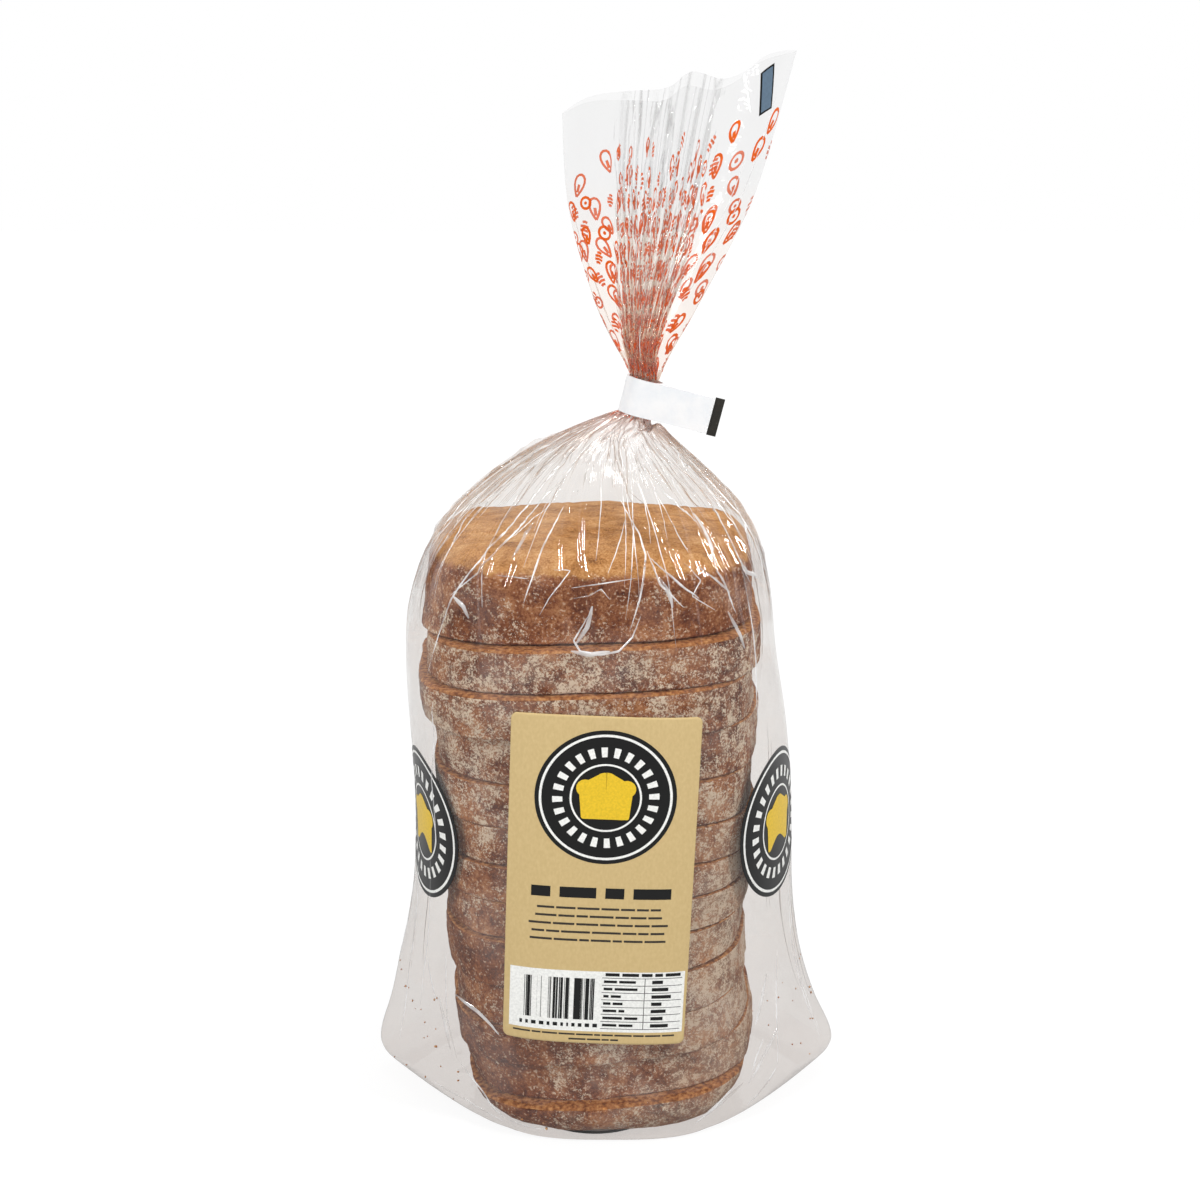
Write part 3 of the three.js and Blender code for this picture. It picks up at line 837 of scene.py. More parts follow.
def keep_square(film, width, height, strength):
    """Diagonal neighbours keep the film from shearing."""
    rest = np.sqrt(height ** 2 + width ** 2)
    for shift in (-1, 1):
        apart = np.roll(film, shift, 1)[1:] - film[:-1]
        length = np.sqrt((apart * apart).sum(2, keepdims=True)) + 1e-9
        move = 0.25 * strength * (1 - rest / length) * apart
        film[:-1] += move
        film[1:] -= np.roll(move, -shift, 1)


def stiffen(film, strength):
    """A point goes a little towards the middle of its neighbours, so that folds stay as soft as film's."""
    for reach in (1, 2):
        film += strength * ((np.roll(film, reach, 1) + np.roll(film, -reach, 1)) / 2 - film)
    film[1:-1] += 1.5 * strength * ((film[2:] + film[:-2]) / 2 - film[1:-1])


two_points = np.array([[[0.0, 0.0, 0.0], [2.0, 0.0, 0.0]]])
keep_round(two_points, 1.0, 1.0)
print("two points that were 2 mm apart and should be 1 mm are now at", two_points[0, :, 0])


# %% From a coarse grid to a finer one
def finer(film, rows, columns):
    """The same film on a finer grid, by cubic curves along both ways of the grid."""
    def resampled(points, at, reach):
        """Points between the rows of a grid, on a cubic curve through four of them."""
        k = np.floor(at).astype(int)
        t = (at - k)[:, None, None]
        a, b, c, d = (points[reach(k + step)] for step in (-1, 0, 1, 2))
        return b + 0.5 * t * (c - a + t * (2 * a - 5 * b + 4 * c - d + t * (3 * (b - c) + d - a)))
    count = len(film)
    at = np.minimum(np.arange(rows) * (count - 1) / (rows - 1), count - 1.0001)
    film = resampled(film, at, lambda k: np.clip(k, 0, count - 1)).transpose(1, 0, 2)
    around = len(film)
    at = np.arange(columns) * around / columns
    return resampled(film, at, lambda k: k % around).transpose(1, 0, 2).copy()


print("a small grid made finer", finer(np.zeros((4, 4, 3)), 8, 12).shape[:2])

# %% The coarse folds it starts with
# Rows, columns, steps and stiffness of each grid.
FILM_LEVELS = [(90, 112, 260, 0.06), (180, 240, 150, 0.09), (340, 520, 60, 0.12)]
# How many waves go once round the bag, in each of four layers, and the highest that they may start.
FOLDS = (6, 9, 13, 17)
FOLD_LIMIT = 9.0
FIRST_UNEVEN = 0.12
FOLDS_FULL_FROM = 20.0


def first_folds(smooth, run, random):
    """The coarse start: random waves where the smooth shape is narrower than the film."""
    rows, columns = smooth.shape[:2]
    step = np.linalg.norm(np.roll(smooth, -1, 1) - smooth, axis=2)
    step = (step + np.roll(step, 1, 1)) / 2
    spare = np.sqrt(np.maximum((FILM_ROUND / columns / step) ** 2 - 1, 0))
    turn = 2 * np.pi * np.arange(columns) / columns
    wave = FIRST_UNEVEN * (random.rand(rows, columns) - 0.5)
    for count in FOLDS:
        lean = random.uniform(-0.01, 0.01) * run[:, None]
        wave = wave + np.cos(count * turn + random.uniform(0, 2 * np.pi) + lean) / len(FOLDS)
    quarter_wave = step * columns / np.mean(FOLDS) / 4
    over_foot = np.clip(run / FOLDS_FULL_FROM, 0, 1)[:, None]
    height = np.minimum(quarter_wave * spare * 1.5, FOLD_LIMIT) * over_foot
    way = np.roll(smooth, -1, 1) - np.roll(smooth, 1, 1)
    normal = np.stack([-way[..., 1], way[..., 0], 0 * way[..., 0]], 2)
    normal /= np.linalg.norm(normal, axis=2, keepdims=True) + 1e-9
    return np.round(smooth + normal * (wave * height)[..., None], 6)


print("steps of the relaxation", sum(steps for _, _, steps, _ in FILM_LEVELS))

# %% Creases from handling
CREASES = 34
CREASE_WAVE = 9.0


def add_creases(film, run, random):
    """Sharp creases that run down from the neck over the loaf's top."""
    columns = film.shape[1]
    across = FILM_ROUND * np.arange(columns) / columns
    height = np.zeros(film.shape[:2])
    for crease in range(CREASES):
        start = random.uniform(0, FILM_ROUND)
        low, high = random.uniform(150, 196), random.uniform(236, 262)
        lean = random.uniform(-0.16, 0.16)
        wander = random.uniform(0, 6.28)
        line = start + lean * (run - high) + 1.2 * np.sin(run / CREASE_WAVE + wander)
        away = np.abs((across - line[:, None] + FILM_ROUND / 2) % FILM_ROUND - FILM_ROUND / 2)
        fade = smooth_step(run, low, low + 14) * (1 - smooth_step(run, high - 12, high))
        size = random.uniform(0.5, 1.1)
        ridge = np.clip(1 - away / random.uniform(1.6, 2.6), 0, 1) ** 1.5
        height += (size * fade)[:, None] * ridge
    up = np.gradient(film, axis=0)
    side = np.roll(film, -1, 1) - np.roll(film, 1, 1)
    outward = np.cross(up, side)
    outward /= np.linalg.norm(outward, axis=2, keepdims=True) + 1e-9
    return film + outward * height[..., None]


print("creases pressed into the film", CREASES)

# %% Relax it, coarse to fine
TAPE_HALF = 6.2
# How strongly each step draws the film to the smooth shape: everywhere, in the flare, round the loaf and
# at its foot.
PULL = 0.002
PULL_IN_FLARE = 0.018
PULL_BELOW = 0.01
PULL_AT_FOOT = 0.05
STRETCH = 0.9
SHEAR = 0.3


def relaxed_film():
    """The film's points, and each row's way up the film."""
    random = np.random.RandomState(7)
    film = None
    for rows, columns, steps, stiffness in FILM_LEVELS:
        smooth, run = smooth_film(rows, columns)
        height = np.round(np.linalg.norm(np.diff(smooth, axis=0), axis=2).mean(1), 6)[:, None, None]
        width = FILM_ROUND / columns
        if film is None:
            film = first_folds(smooth, run, random)
        else:
            film = finer(film, rows, columns) + np.round((random.rand(rows, columns, 3) - 0.5) * 0.05, 6)
        at_tie = run[np.abs(smooth[:, :, 2].mean(1) - TIE_CENTRE[2]).argmin()]
        low, high = at_tie - TAPE_HALF, at_tie + TAPE_HALF
        at_foot = np.clip((75 - run) / 50, 0, 1) * PULL_AT_FOOT
        low_part = np.clip((200 - run) / 60, 0, 1) * PULL_BELOW + at_foot
        shape_pull = PULL + (PULL_IN_FLARE * np.clip((run - high) / 10, 0, 1) + low_part)[:, None, None]
        for step in range(steps):
            keep_round(film, width, STRETCH)
            keep_long(film, height, STRETCH)
            if step % 2 == 0:
                keep_square(film, width, height, SHEAR)
            stiffen(film, stiffness)
            film += shape_pull * (smooth - film)
            film[0] = smooth[0]
            hold_neck(film, run, low, high)
            push_out(film)
            if step % 4 == 3:
                hold_label(film, run)
    return film, run


film_points, film_run = relaxed_film()
film_points = add_creases(film_points, film_run, np.random.RandomState(11))
print("film grid", film_points.shape[:2])


# %% [markdown]
# ## Clear polyethylene film
#
# Bread bags are blown film of low-density polyethylene, about 0.03 mm thick. A sheet as thin as that
# doesn't bend the view, so a glass shader would be wrong for it. It is transparent, sends back 8% of
# the light straight on and more at a grazing angle, and is clouded a little by handling and by flour
# dust. Creased film is white, partly from the whitening of pinched film and partly as a painted
# highlight, where real creases would reflect the lamps.

# %% How clear the film is, from the table up to the mouth
FILM_HEIGHT = FLARE_BASE + FLARE_RISE
CLEARNESS = [(0.0, "F0EDEB"), (0.2, "F3F1EF"), (0.56, "F5F3F1"), (0.66, "F8F7F6"), (0.7, "FDFAF9"),
             (0.76, "FDF8F4"), (0.86, "FCFAF8"), (0.92, "FAFAFA")]
print("film is", CLEARNESS[0][1], "at the table and", CLEARNESS[-1][1], "at its mouth")


# %% The same film in three states: smooth, pinched and folded
CRINKLE = 4.0


def film_material(name, white, roughness, haze_size, haze, creased=False):
    """Film with haze in patches of one size in mm. Haze is their noise's range and the haze at its ends."""
    film = new_material(name)
    place = place_in_mm(film)
    z = add(film, "SeparateXYZ", [place]).outputs["Z"]
    crinkle = add(film, "TexNoise", {"Vector": place, "Scale": 1 / CRINKLE, "Roughness": 0.5})
    bump = add(film, "Bump", {"Strength": 0.22, "Distance": 0.001, "Height": crinkle})
    height_share = add(film, "Math", [z, FILM_HEIGHT], operation="DIVIDE")
    clear = add(film, "BsdfTransparent", [add(film, "ValToRGB", [height_share], stops=CLEARNESS)])
    gloss = add(film, "BsdfAnisotropic", {"Color": linear("FFFFFF"), "Roughness": roughness, "Normal": bump})
    patches = add(film, "TexNoise", {"Vector": place, "Scale": 1 / haze_size, "Detail": 2.0})
    haze_share = add(film, "MapRange", [patches, *haze])
    fresnel = 0.12
    if not creased:
        # Where many layers are gathered, reflections between them cancel out, so each layer gets less gloss
        # there and a little more haze.
        facing = add(film, "LayerWeight", {"Blend": 0.5, "Normal": bump}).outputs["Facing"]
        grazing = add(film, "Math", [facing, 5.0], operation="POWER")
        both_faces = add(film, "Math", [grazing, 0.65, 0.075], operation="MULTIPLY_ADD")
        layers = add(film, "MapRange", [z, 195.0, 240.0, 1.0, 0.2])
        fresnel = add(film, "Math", [both_faces, layers], operation="MULTIPLY")
        gathered = add(film, "MapRange", [z, 200.0, 262.0, 0.0, 0.035])
        haze_share = add(film, "Math", [haze_share, gathered], operation="ADD")
    milky = add(film, "MixShader", [haze_share, clear, add(film, "BsdfDiffuse", [linear(white)])])
    add(film, "OutputMaterial", [add(film, "MixShader", [fresnel, milky, gloss])])
    return film


clear_film = film_material("clear_polyethylene_film", "EDEDED", 0.06, 22, (0.5, 0.68, 0.012, 0.065))
# Pinched film: near white haze, partly the whitening of creased film and partly a painted highlight.
crease_film_painted_highlight = film_material("pinched_polyethylene_painted_highlight", "FCFCFC", 0.25, 9, (0.35, 0.65, 0.2, 0.85),
                             creased=True)
# Folded film: its white haze is a painted glint on each short fold, under real gloss.
fold_film_painted_glint = film_material("folded_polyethylene_painted_glint", "FCFCFC", 0.12, 14, (0.38, 0.62, 0.1, 0.6),
                            creased=True)
print("films", [one.name for one in (clear_film, crease_film_painted_highlight, fold_film_painted_glint)])

# %% The film itself
film = make_piece("film", film_points, grid_faces(*film_points.shape[:2], True), clear_film)
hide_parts("bag")
print("film quads", len(film.data.polygons))

# %% [markdown]
# ## The folded bottom
#
# The bottom of the bag is folded flat under the loaf and sticks out at both sides as ears. Without this
# sheet the bag would be open below, and the ears would look like a single layer. The real folds can't
# be seen in full, so it is one plain sheet that runs from the film's lowest ring in to the middle, with
# wrinkles only where it leaves the loaf.

# %% The bottom sheet
BASE_MIDDLE = np.array([3.0, 0.0])
FOOT_HALF = 46.0
BASE_WRINKLE = 3.0
BASE_RINGS = 40


def base_sheet():
    """The folded bottom: flat under the loaf, and wrinkled where it runs out into the ears."""
    rim = film_points[0]
    shares = np.linspace(1, 0, BASE_RINGS)[:, None, None]
    flat = BASE_MIDDLE + (rim[:, :2] - BASE_MIDDLE) * shares
    outside = smooth_step(np.abs(flat[..., 0] - BASE_MIDDLE[0]), FOOT_HALF - 3, FOOT_HALF + 12)
    sheet = np.concatenate([flat, np.zeros(flat.shape[:2] + (1,))], 2)
    wrinkles = np.clip(noise(sheet, 11, 61) + 0.5 * noise(sheet, 5, 62), 0, 1)
    sheet[..., 2] = FILM_OFF_FLOOR + BASE_WRINKLE * wrinkles * outside * (1 - shares[..., 0] ** 8)
    return sheet


film_base = base_sheet()
make_piece("film_base", film_base, grid_faces(*film_base.shape[:2], True), clear_film)
print("bottom sheet", film_base.shape[:2])


# %% [markdown]
# ## Flat drawings laid on curved sheets
#
# Ink and paper lie on the film or on the label and bend with it. So every print is drawn flat first, as
# small quads in millimetres, and then each of its points is carried to its place on the curved sheet. A
# plain disc or bar needs many small quads for this, because only its corners can bend.

# %% Flat shapes as points and quads
QUAD = 1.2


def band(inner, outer):
    """Quads between two lines with the same number of points."""
    points = np.concatenate([inner, outer])
    count = len(inner)
    k = np.arange(count - 1)
    return points, np.stack([k, k + 1, k + 1 + count, k + count], 1)


def joined(shapes):
    """Many flat shapes as one."""
    starts = np.cumsum([0] + [len(points) for points, _ in shapes[:-1]])
    return (np.concatenate([points for points, _ in shapes]),
            np.concatenate([faces + start for (_, faces), start in zip(shapes, starts)]))


def arc(centre, radius, start=0.0, end=2 * math.pi):
    """Points along a part of a circle."""
    steps = max(6, int(abs(end - start) * radius / QUAD) + 1)
    turn = np.linspace(start, end, steps + 1)
    return np.column_stack([centre[0] + radius * np.cos(turn), centre[1] + radius * np.sin(turn)])


def ring(centre, inner, outer, start=0.0, end=2 * math.pi):
    """A ring or a part of one, in as many rings of quads as it needs."""
    turn = np.linspace(start, end, max(6, int(abs(end - start) * outer / QUAD) + 1) + 1)
    way = np.column_stack([np.cos(turn), np.sin(turn)])
    radii = np.linspace(inner, outer, max(1, round((outer - inner) / QUAD)) + 1)
    return joined([band(centre + a * way, centre + b * way) for a, b in zip(radii[:-1], radii[1:])])


print("quads of a disc 20 mm wide", len(ring((0, 0), 0.01, 10)[1]))


# %% Plates, strokes and filled outlines
def plate(left, bottom, right, top):
    """An upright rectangle."""
    columns = max(1, round((right - left) / QUAD)) + 1
    rows = max(1, round((top - bottom) / QUAD)) + 1
    x, z = np.meshgrid(np.linspace(left, right, columns), np.linspace(bottom, top, rows))
    return np.column_stack([x.ravel(), z.ravel()]), grid_faces(rows, columns, False)


def stroke(line, width):
    """A line of ink of one width along some points."""
    line = np.array(line, float)
    way = np.gradient(line, axis=0)
    way /= np.linalg.norm(way, axis=1, keepdims=True) + 1e-9
    side = np.column_stack([-way[:, 1], way[:, 0]]) * width / 2
    return band(line - side, line + side)


def filled(outline, centre):
    """The inside of an outline that can be seen whole from its centre."""
    outline = np.concatenate([outline, outline[:1]])
    reach = np.linalg.norm(outline - centre, axis=1).max()
    shares = np.linspace(0, 1, max(2, round(reach / QUAD)) + 1)
    return joined([band(centre + (outline - centre) * a, centre + (outline - centre) * b)
                   for a, b in zip(shares[:-1], shares[1:])])


def bread_outline(width, height):
    """The outline of a slice of tin bread: straight sides and two rounded shoulders."""
    half = width / 2
    shoulder = height * 0.28
    right = np.concatenate([arc((half - 0.8, -height / 2 + 0.8), 0.8, -math.pi / 2, 0),
                            arc((half * 0.86, height / 2 - shoulder), shoulder * 0.72, -0.9, 1.9),
                            arc((0, height / 2 - shoulder), half * 0.7, 1.25, math.pi / 2)])
    return np.concatenate([right, right[::-1] * [-1, 1]])


print("quads of a plate of 10 by 20 mm", len(plate(0, 0, 10, 20)[1]))


# %% Where a flat place lies on the folded film
def film_place(across, up, lift):
    """Points for flat places on the film: mm leftwards round it from its right edge, and mm up."""
    rows, columns = film_points.shape[:2]
    row = np.clip(np.interp(up, film_run, np.arange(rows)), 0, rows - 1.001)
    column = (across / FILM_ROUND * columns) % columns
    i, j = row.astype(int), column.astype(int)
    s, t = (row - i)[:, None], (column - j)[:, None]
    beside = (j + 1) % columns
    low_right, low_left = film_points[i, j], film_points[i, beside]
    high_right, high_left = film_points[i + 1, j], film_points[i + 1, beside]
    place = (low_right * (1 - t) + low_left * t) * (1 - s) + (high_right * (1 - t) + high_left * t) * s
    upward = high_right + high_left - low_right - low_left
    leftward = low_left + high_left - low_right - high_right
    outward = np.cross(upward, leftward)
    return place + lift * outward / (np.linalg.norm(outward, axis=1, keepdims=True) + 1e-9)


def on_film(name, shapes, lift, material, middle):
    """A print on the film, upright for the viewer, with its middle at a flat place."""
    points, faces = joined(shapes)
    place = film_place(middle[0] - points[:, 0], middle[1] + points[:, 1], lift)
    return make_piece(name, place, faces, material)


def nearest_flat(x, z):
    """The flat place of the front film at a place seen from the front."""
    away = np.hypot(film_points[..., 0] - x, film_points[..., 2] - z)
    away = away + np.maximum(film_points[..., 1], 0) * 0.2
    i, j = np.unravel_index(np.argmin(away), away.shape)
    return j * FILM_ROUND / film_points.shape[1], film_run[i]


print("flat place in the middle of the front", [round(float(mm), 1) for mm in nearest_flat(0, 100)])


# %% [markdown]
# ## Pinched creases
#
# Where thin film is gathered and handled, it keeps sharp creases: long straight ones that run out from
# the neck over the loaf's shoulders, and short wandering ones. Pinched film turns white and catches the
# light; here its white is also a painted highlight along each crease. A bump in the material would hardly
# show in clear film, so each is a narrow ridge laid on the film, like a print with a raised middle. The
# large ones in front follow the photograph, given as places seen from the front, and the rest are drawn
# by chance round the bag.

# %% A ridge along a flat line
CREASE_STEP = 1.0
OFF_FILM = 0.04


def evenly(line):
    """Points at even steps along a line of a few points."""
    line = np.array(line, float)
    run = np.concatenate([[0], np.cumsum(np.linalg.norm(np.diff(line, axis=0), axis=1))])
    goal = np.linspace(0, run[-1], max(4, int(run[-1] / CREASE_STEP)) + 1)
    return np.stack([np.interp(goal, run, line[:, k]) for k in (0, 1)], 1)


def pinched(line, width, height):
    """A ridge with tapered ends: its flat points with the lift of each, and its quads."""
    line = evenly(line)
    count = len(line)
    way = np.gradient(line, axis=0)
    way /= np.linalg.norm(way, axis=1, keepdims=True) + 1e-9
    taper = np.sin(np.pi * (np.arange(count) + 0.5) / count) ** 0.6
    side = np.column_stack([-way[:, 1], way[:, 0]]) * (width / 2 * taper)[:, None]
    flat = np.concatenate([line - side, line, line + side])
    lift = np.concatenate([np.full(count, OFF_FILM), OFF_FILM + height * taper, np.full(count, OFF_FILM)])
    return np.column_stack([flat, lift]), grid_faces(3, count, False)


print("quads of a ridge 10 mm long", len(pinched([(0, 0), (10, 0)], 0.5, 0.2)[1]))

# %% Creases in front, seen from the front at x and z
CREASES_IN_FRONT = [
    [(-9, 225), (-14, 220), (-22, 211), (-32, 201), (-46, 183), (-54, 157)],
    [(-11, 218), (-15, 215), (-24, 206), (-37, 192), (-46, 184)],
    [(-27, 224), (-38, 217), (-50, 209)],
    [(-38, 209), (-46, 197), (-52, 184)],
    [(-11, 211), (-17, 201), (-20, 193), (-23, 184)],
    [(6, 213), (12, 203), (14, 198), (12, 186), (9, 176)],
    [(-3, 182), (-8, 173), (-6, 170), (0, 169), (6, 170.5), (10, 174), (12, 181)],
    [(14, 199), (18, 190), (25, 183)],
    [(15, 197), (25, 189), (30, 185)],
    [(20, 214), (30, 205)],
    [(22, 226), (30, 216), (39, 203), (44, 191), (48, 185)],
    [(31, 205), (36, 192), (42, 179)],
    [(29, 195), (39, 186), (42, 179)],
    [(41, 213), (46, 199), (48, 191)],
    [(45, 187), (47, 174), (49, 160), (50, 140)],
    [(-51, 60), (-51, 37), (-48, 23)],
    [(-47, 22), (-40, 14), (-32, 5)],
    [(-57, 8), (-45, 7), (-32, 3)],
    [(60, 15), (54, 9), (50, 5)],
    [(60, 55), (60, 16)],
    [(-52, 150), (-54, 120), (-53, 96)],
    [(55, 28), (52, 23), (51, 18)],
    [(44.5, 15), (34, 6.5)],
    [(-58, 54), (-55, 41)],
    [(-31, 5), (-18, 4)],
]
print("large creases in front", len(CREASES_IN_FRONT))

# %% Hairlines in front, and short wide folds that stand up, each with a painted glint
HAIRLINES_IN_FRONT = [
    [(-31, 192), (-22, 191)],
    [(-14, 194), (-9, 194), (-11, 191), (-15, 186), (-18, 181)],
    [(-9, 189), (-2, 190), (4, 191), (11, 192)],
    [(-8, 186), (-3, 187), (0, 189), (3, 186)],
    [(25, 196), (31, 190), (28, 186), (35, 181)],
]
# Short wide folds placed where the film glints; their white is a painted highlight on a real ridge.
WIDE_FOLDS_PAINTED_GLINT = [
    [(-2, 184), (-4, 178), (-7, 172)],
    [(-9, 170), (-3, 169), (3, 169.5)],
    [(-45, 184), (-42, 181), (-40, 178)],
    [(18, 192), (21, 187), (22, 183)],
    [(29, 208), (32, 203), (35, 198)],
    [(42, 195), (45, 190), (48, 187)],
    [(39, 180), (42, 174), (45, 167)],
    [(-20, 207), (-24, 201), (-27, 196)],
    [(56, 49), (54, 41), (52, 34)],
    [(60, 29), (55, 22), (50, 14)],
    [(48, 15.5), (38, 8.5), (32, 4.5)],
    [(-54, 43), (-52, 35), (-50, 25)],
    [(-48, 47), (-40, 44), (-33, 39)],
]


def in_front(lines, width, height):
    """Ridges along lines that are seen from the front."""
    return [pinched([nearest_flat(x, z) for x, z in line], width, height) for line in lines]


# Each kind with its width and height in mm.
creases = in_front(CREASES_IN_FRONT, 0.75, 0.35) + in_front(HAIRLINES_IN_FRONT, 0.4, 0.15)
folds = in_front(WIDE_FOLDS_PAINTED_GLINT, 1.5, 0.7)
print("creases in front", len(creases), "and folds", len(folds))

# %% Creases round the bag, by chance
NECK_RUN = 262.0
FROM_THE_NECK = 46
AT_EACH_SIDE = 9
IN_THE_FLARE = 16
random = np.random.RandomState(17)
for crease in range(FROM_THE_NECK):
    across = random.uniform(0, FILM_ROUND)
    low = random.uniform(172, 222)
    lean = random.uniform(-0.2, 0.2)
    levels = np.linspace(NECK_RUN, low, 4)
    line = [(across + lean * (up - NECK_RUN) + random.uniform(-1, 1), up) for up in levels]
    creases.append(pinched(line, random.uniform(0.3, 0.6), random.uniform(0.1, 0.3)))
    if random.rand() < 0.4:
        fork = line[2]
        branch = [fork, (fork[0] + random.uniform(-14, 14), fork[1] - random.uniform(12, 26))]
        creases.append(pinched(branch, 0.4, 0.2))
for edge in (0, FILM_ROUND / 2):
    for crease in range(AT_EACH_SIDE):
        across, low = edge + random.uniform(-24, 24), random.uniform(8, 90)
        line = [(across, low), (across + random.uniform(-5, 5), low + random.uniform(25, 80))]
        creases.append(pinched(line, random.uniform(0.3, 0.6), 0.2))
for crease in range(IN_THE_FLARE):
    across, low = random.uniform(0, FILM_ROUND), random.uniform(272, 310)
    line = [(across, low), (across + random.uniform(-4, 4), low + random.uniform(20, 60))]
    creases.append(pinched(line, random.uniform(0.35, 0.7), 0.25))
# Both kinds of ridge are near white: a painted highlight on real ridges, with some real whitening of pinched
# film.
for name, ridges, material in (("film_creases", creases, crease_film_painted_highlight), ("film_folds", folds, fold_film_painted_glint)):
    flat, faces = joined(ridges)
    place = film_place(flat[:, 0], np.clip(flat[:, 1], 2, film_run[-1] - 2), flat[:, 2:])
    make_piece(name, place, faces, material)
    print(name, len(ridges), "quads", len(faces))

# %% [markdown]
# ## Inks
#
# The prints are thin layers of ink on film and paper. The orange ink on the film lets some light
# through, so it grows darker and redder where the gathered film lies in many layers.

# %% Printing inks
MOTTLE = 0.7


def ink(name, colour, clear=0.0, roughness=0.4):
    """A thin layer of ink, pressed a little unevenly. Clear is the share of light that it lets through."""
    inked = new_material(name)
    cover = add(inked, "TexNoise", {"Vector": place_in_mm(inked), "Scale": 1 / MOTTLE, "Detail": 2.0})
    uneven = add(inked, "MapRange", [cover, 0.3, 0.7, 0.88, 1.06])
    tone = add(inked, "HueSaturation", {"Value": uneven, "Color": linear(colour)})
    surface = add(inked, "BsdfPrincipled", {"Base Color": tone, "Roughness": roughness,
                                            "Specular IOR Level": 0.4})
    if clear > 0:
        tinted = add(inked, "BsdfTransparent", [linear(colour)])
        surface = add(inked, "MixShader", [clear, surface, tinted])
    add(inked, "OutputMaterial", [surface])
    return inked


black_ink = ink("black_printing_ink", "161616", roughness=0.35)
dark_ink = ink("dark_printing_ink", "3A342E", roughness=0.4)
white_ink = ink("white_printing_ink", "F2F2EE", roughness=0.4)
yellow_ink = ink("yellow_printing_ink", "E9C22C", roughness=0.4)
orange_ink = ink("orange_flexographic_ink", "EC640E", clear=0.25)
blue_grey_ink = ink("blue_grey_printing_ink", "6C8398", clear=0.15)
print("inks", [one.name for one in (black_ink, dark_ink, white_ink, yellow_ink, orange_ink, blue_grey_ink)])

# %% [markdown]
# ## The round badges on the film
#
# The film carries a round black badge on each side. The camera sees only the inner edge of each, round
# the film's side. Its drawing here is a plain one: rings, a ring of dashes and a slice of bread.

# %% A round badge
# The badge's sizes are for a radius of 25 mm. Its black layer lies lowest, with white and yellow on it.
DRAWN_RADIUS = 25
BLACK_LIFT = 0.12
COLOUR_LIFT = 0.22
DASH_EVERY = 15
DASH_TURN = math.radians(7)


def badge(name, radius, place_on, middle, lift_share):
    """A badge in three inks. The function place_on lays each on its sheet, at a share of its lift."""
    unit = radius / DRAWN_RADIUS
    turns = np.radians(np.arange(0, 360, DASH_EVERY))
    dashes = [ring((0, 0), 15.2 * unit, 18.8 * unit, turn, turn + DASH_TURN) for turn in turns]
    rings = [ring((0, 0), 22.6 * unit, 23.5 * unit), ring((0, 0), 12 * unit, 12.7 * unit)]
    slice_of_bread = filled(bread_outline(17 * unit, 16 * unit), np.zeros(2))
    place_on(name + "_black", [ring((0, 0), 0.01, radius)], BLACK_LIFT * lift_share, black_ink, middle)
    place_on(name + "_white", dashes + rings, COLOUR_LIFT * lift_share, white_ink, middle)
    place_on(name + "_yellow", [slice_of_bread], COLOUR_LIFT * lift_share, yellow_ink, middle)
    print(name, "radius", radius, "middle", [round(float(value), 1) for value in middle])


# %% The badges at the sides, and the one under the loaf
BADGE_RADIUS = 25.6
BADGE_HEIGHT = 102.0
BADGE_ON_BASE = (-1.7, -17.0)
for name, inner_edge, side in (("badge_left", -45.5, -1), ("badge_right", 44.7, 1)):
    edge_round, edge_up = nearest_flat(inner_edge, BADGE_HEIGHT)
    badge(name, BADGE_RADIUS, on_film, (edge_round - side * BADGE_RADIUS, edge_up), 1)


def on_base(name, shapes, lift, material, middle):
    """A print on the bottom sheet, under the loaf."""
    points, faces = joined(shapes)
    place = np.column_stack([points + middle, np.full(len(points), FILM_OFF_FLOOR + lift)])
    return make_piece(name, place, faces, material)


badge("badge_base", BADGE_RADIUS, on_base, BADGE_ON_BASE, 0.5)
print("badge on the bottom sheet at", BADGE_ON_BASE)

# %% [markdown]
# ## The print on the gathered end
#
# The film above the tape carries small orange motifs. Here they are drops, rings and short bars, about
# a centimetre large. Each is a few thin strokes, scattered by chance with a seed.

# %% Small motifs
INK_LINE = 0.9


def drop_motif(size):
    """A drop with a short line in it."""
    turn = np.linspace(0, 2 * np.pi, 17)
    outline = np.column_stack([np.sin(turn) * np.sin(turn / 2) * size * 0.36, -np.cos(turn) * size / 2])
    core = [(0, -size * 0.3), (0, -size * 0.12), (0, size * 0.06)]
    return [stroke(outline, INK_LINE), stroke(core, INK_LINE * 1.3)]


def ring_motif(size):
    """A ring with a dot in it."""
    return [ring((0, 0), size * 0.24, size * 0.24 + INK_LINE), ring((0, 0), 0.01, size * 0.1)]


def bar_motif(size):
    """Four short bars, the middle ones longer."""
    return [stroke([(-w * size, z * size), (0, z * size + 0.3), (w * size, z * size)], INK_LINE)
            for w, z in ((0.14, 0.3), (0.24, 0.1), (0.24, -0.1), (0.14, -0.3))]


def turned(shapes, angle, middle):
    """Shapes turned and moved."""
    cos, sin = math.cos(angle), math.sin(angle)
    return [(points @ np.array([[cos, sin], [-sin, cos]]) + middle, faces) for points, faces in shapes]


print("strokes of each motif", [len(draw(6)) for draw in (drop_motif, ring_motif, bar_motif)])

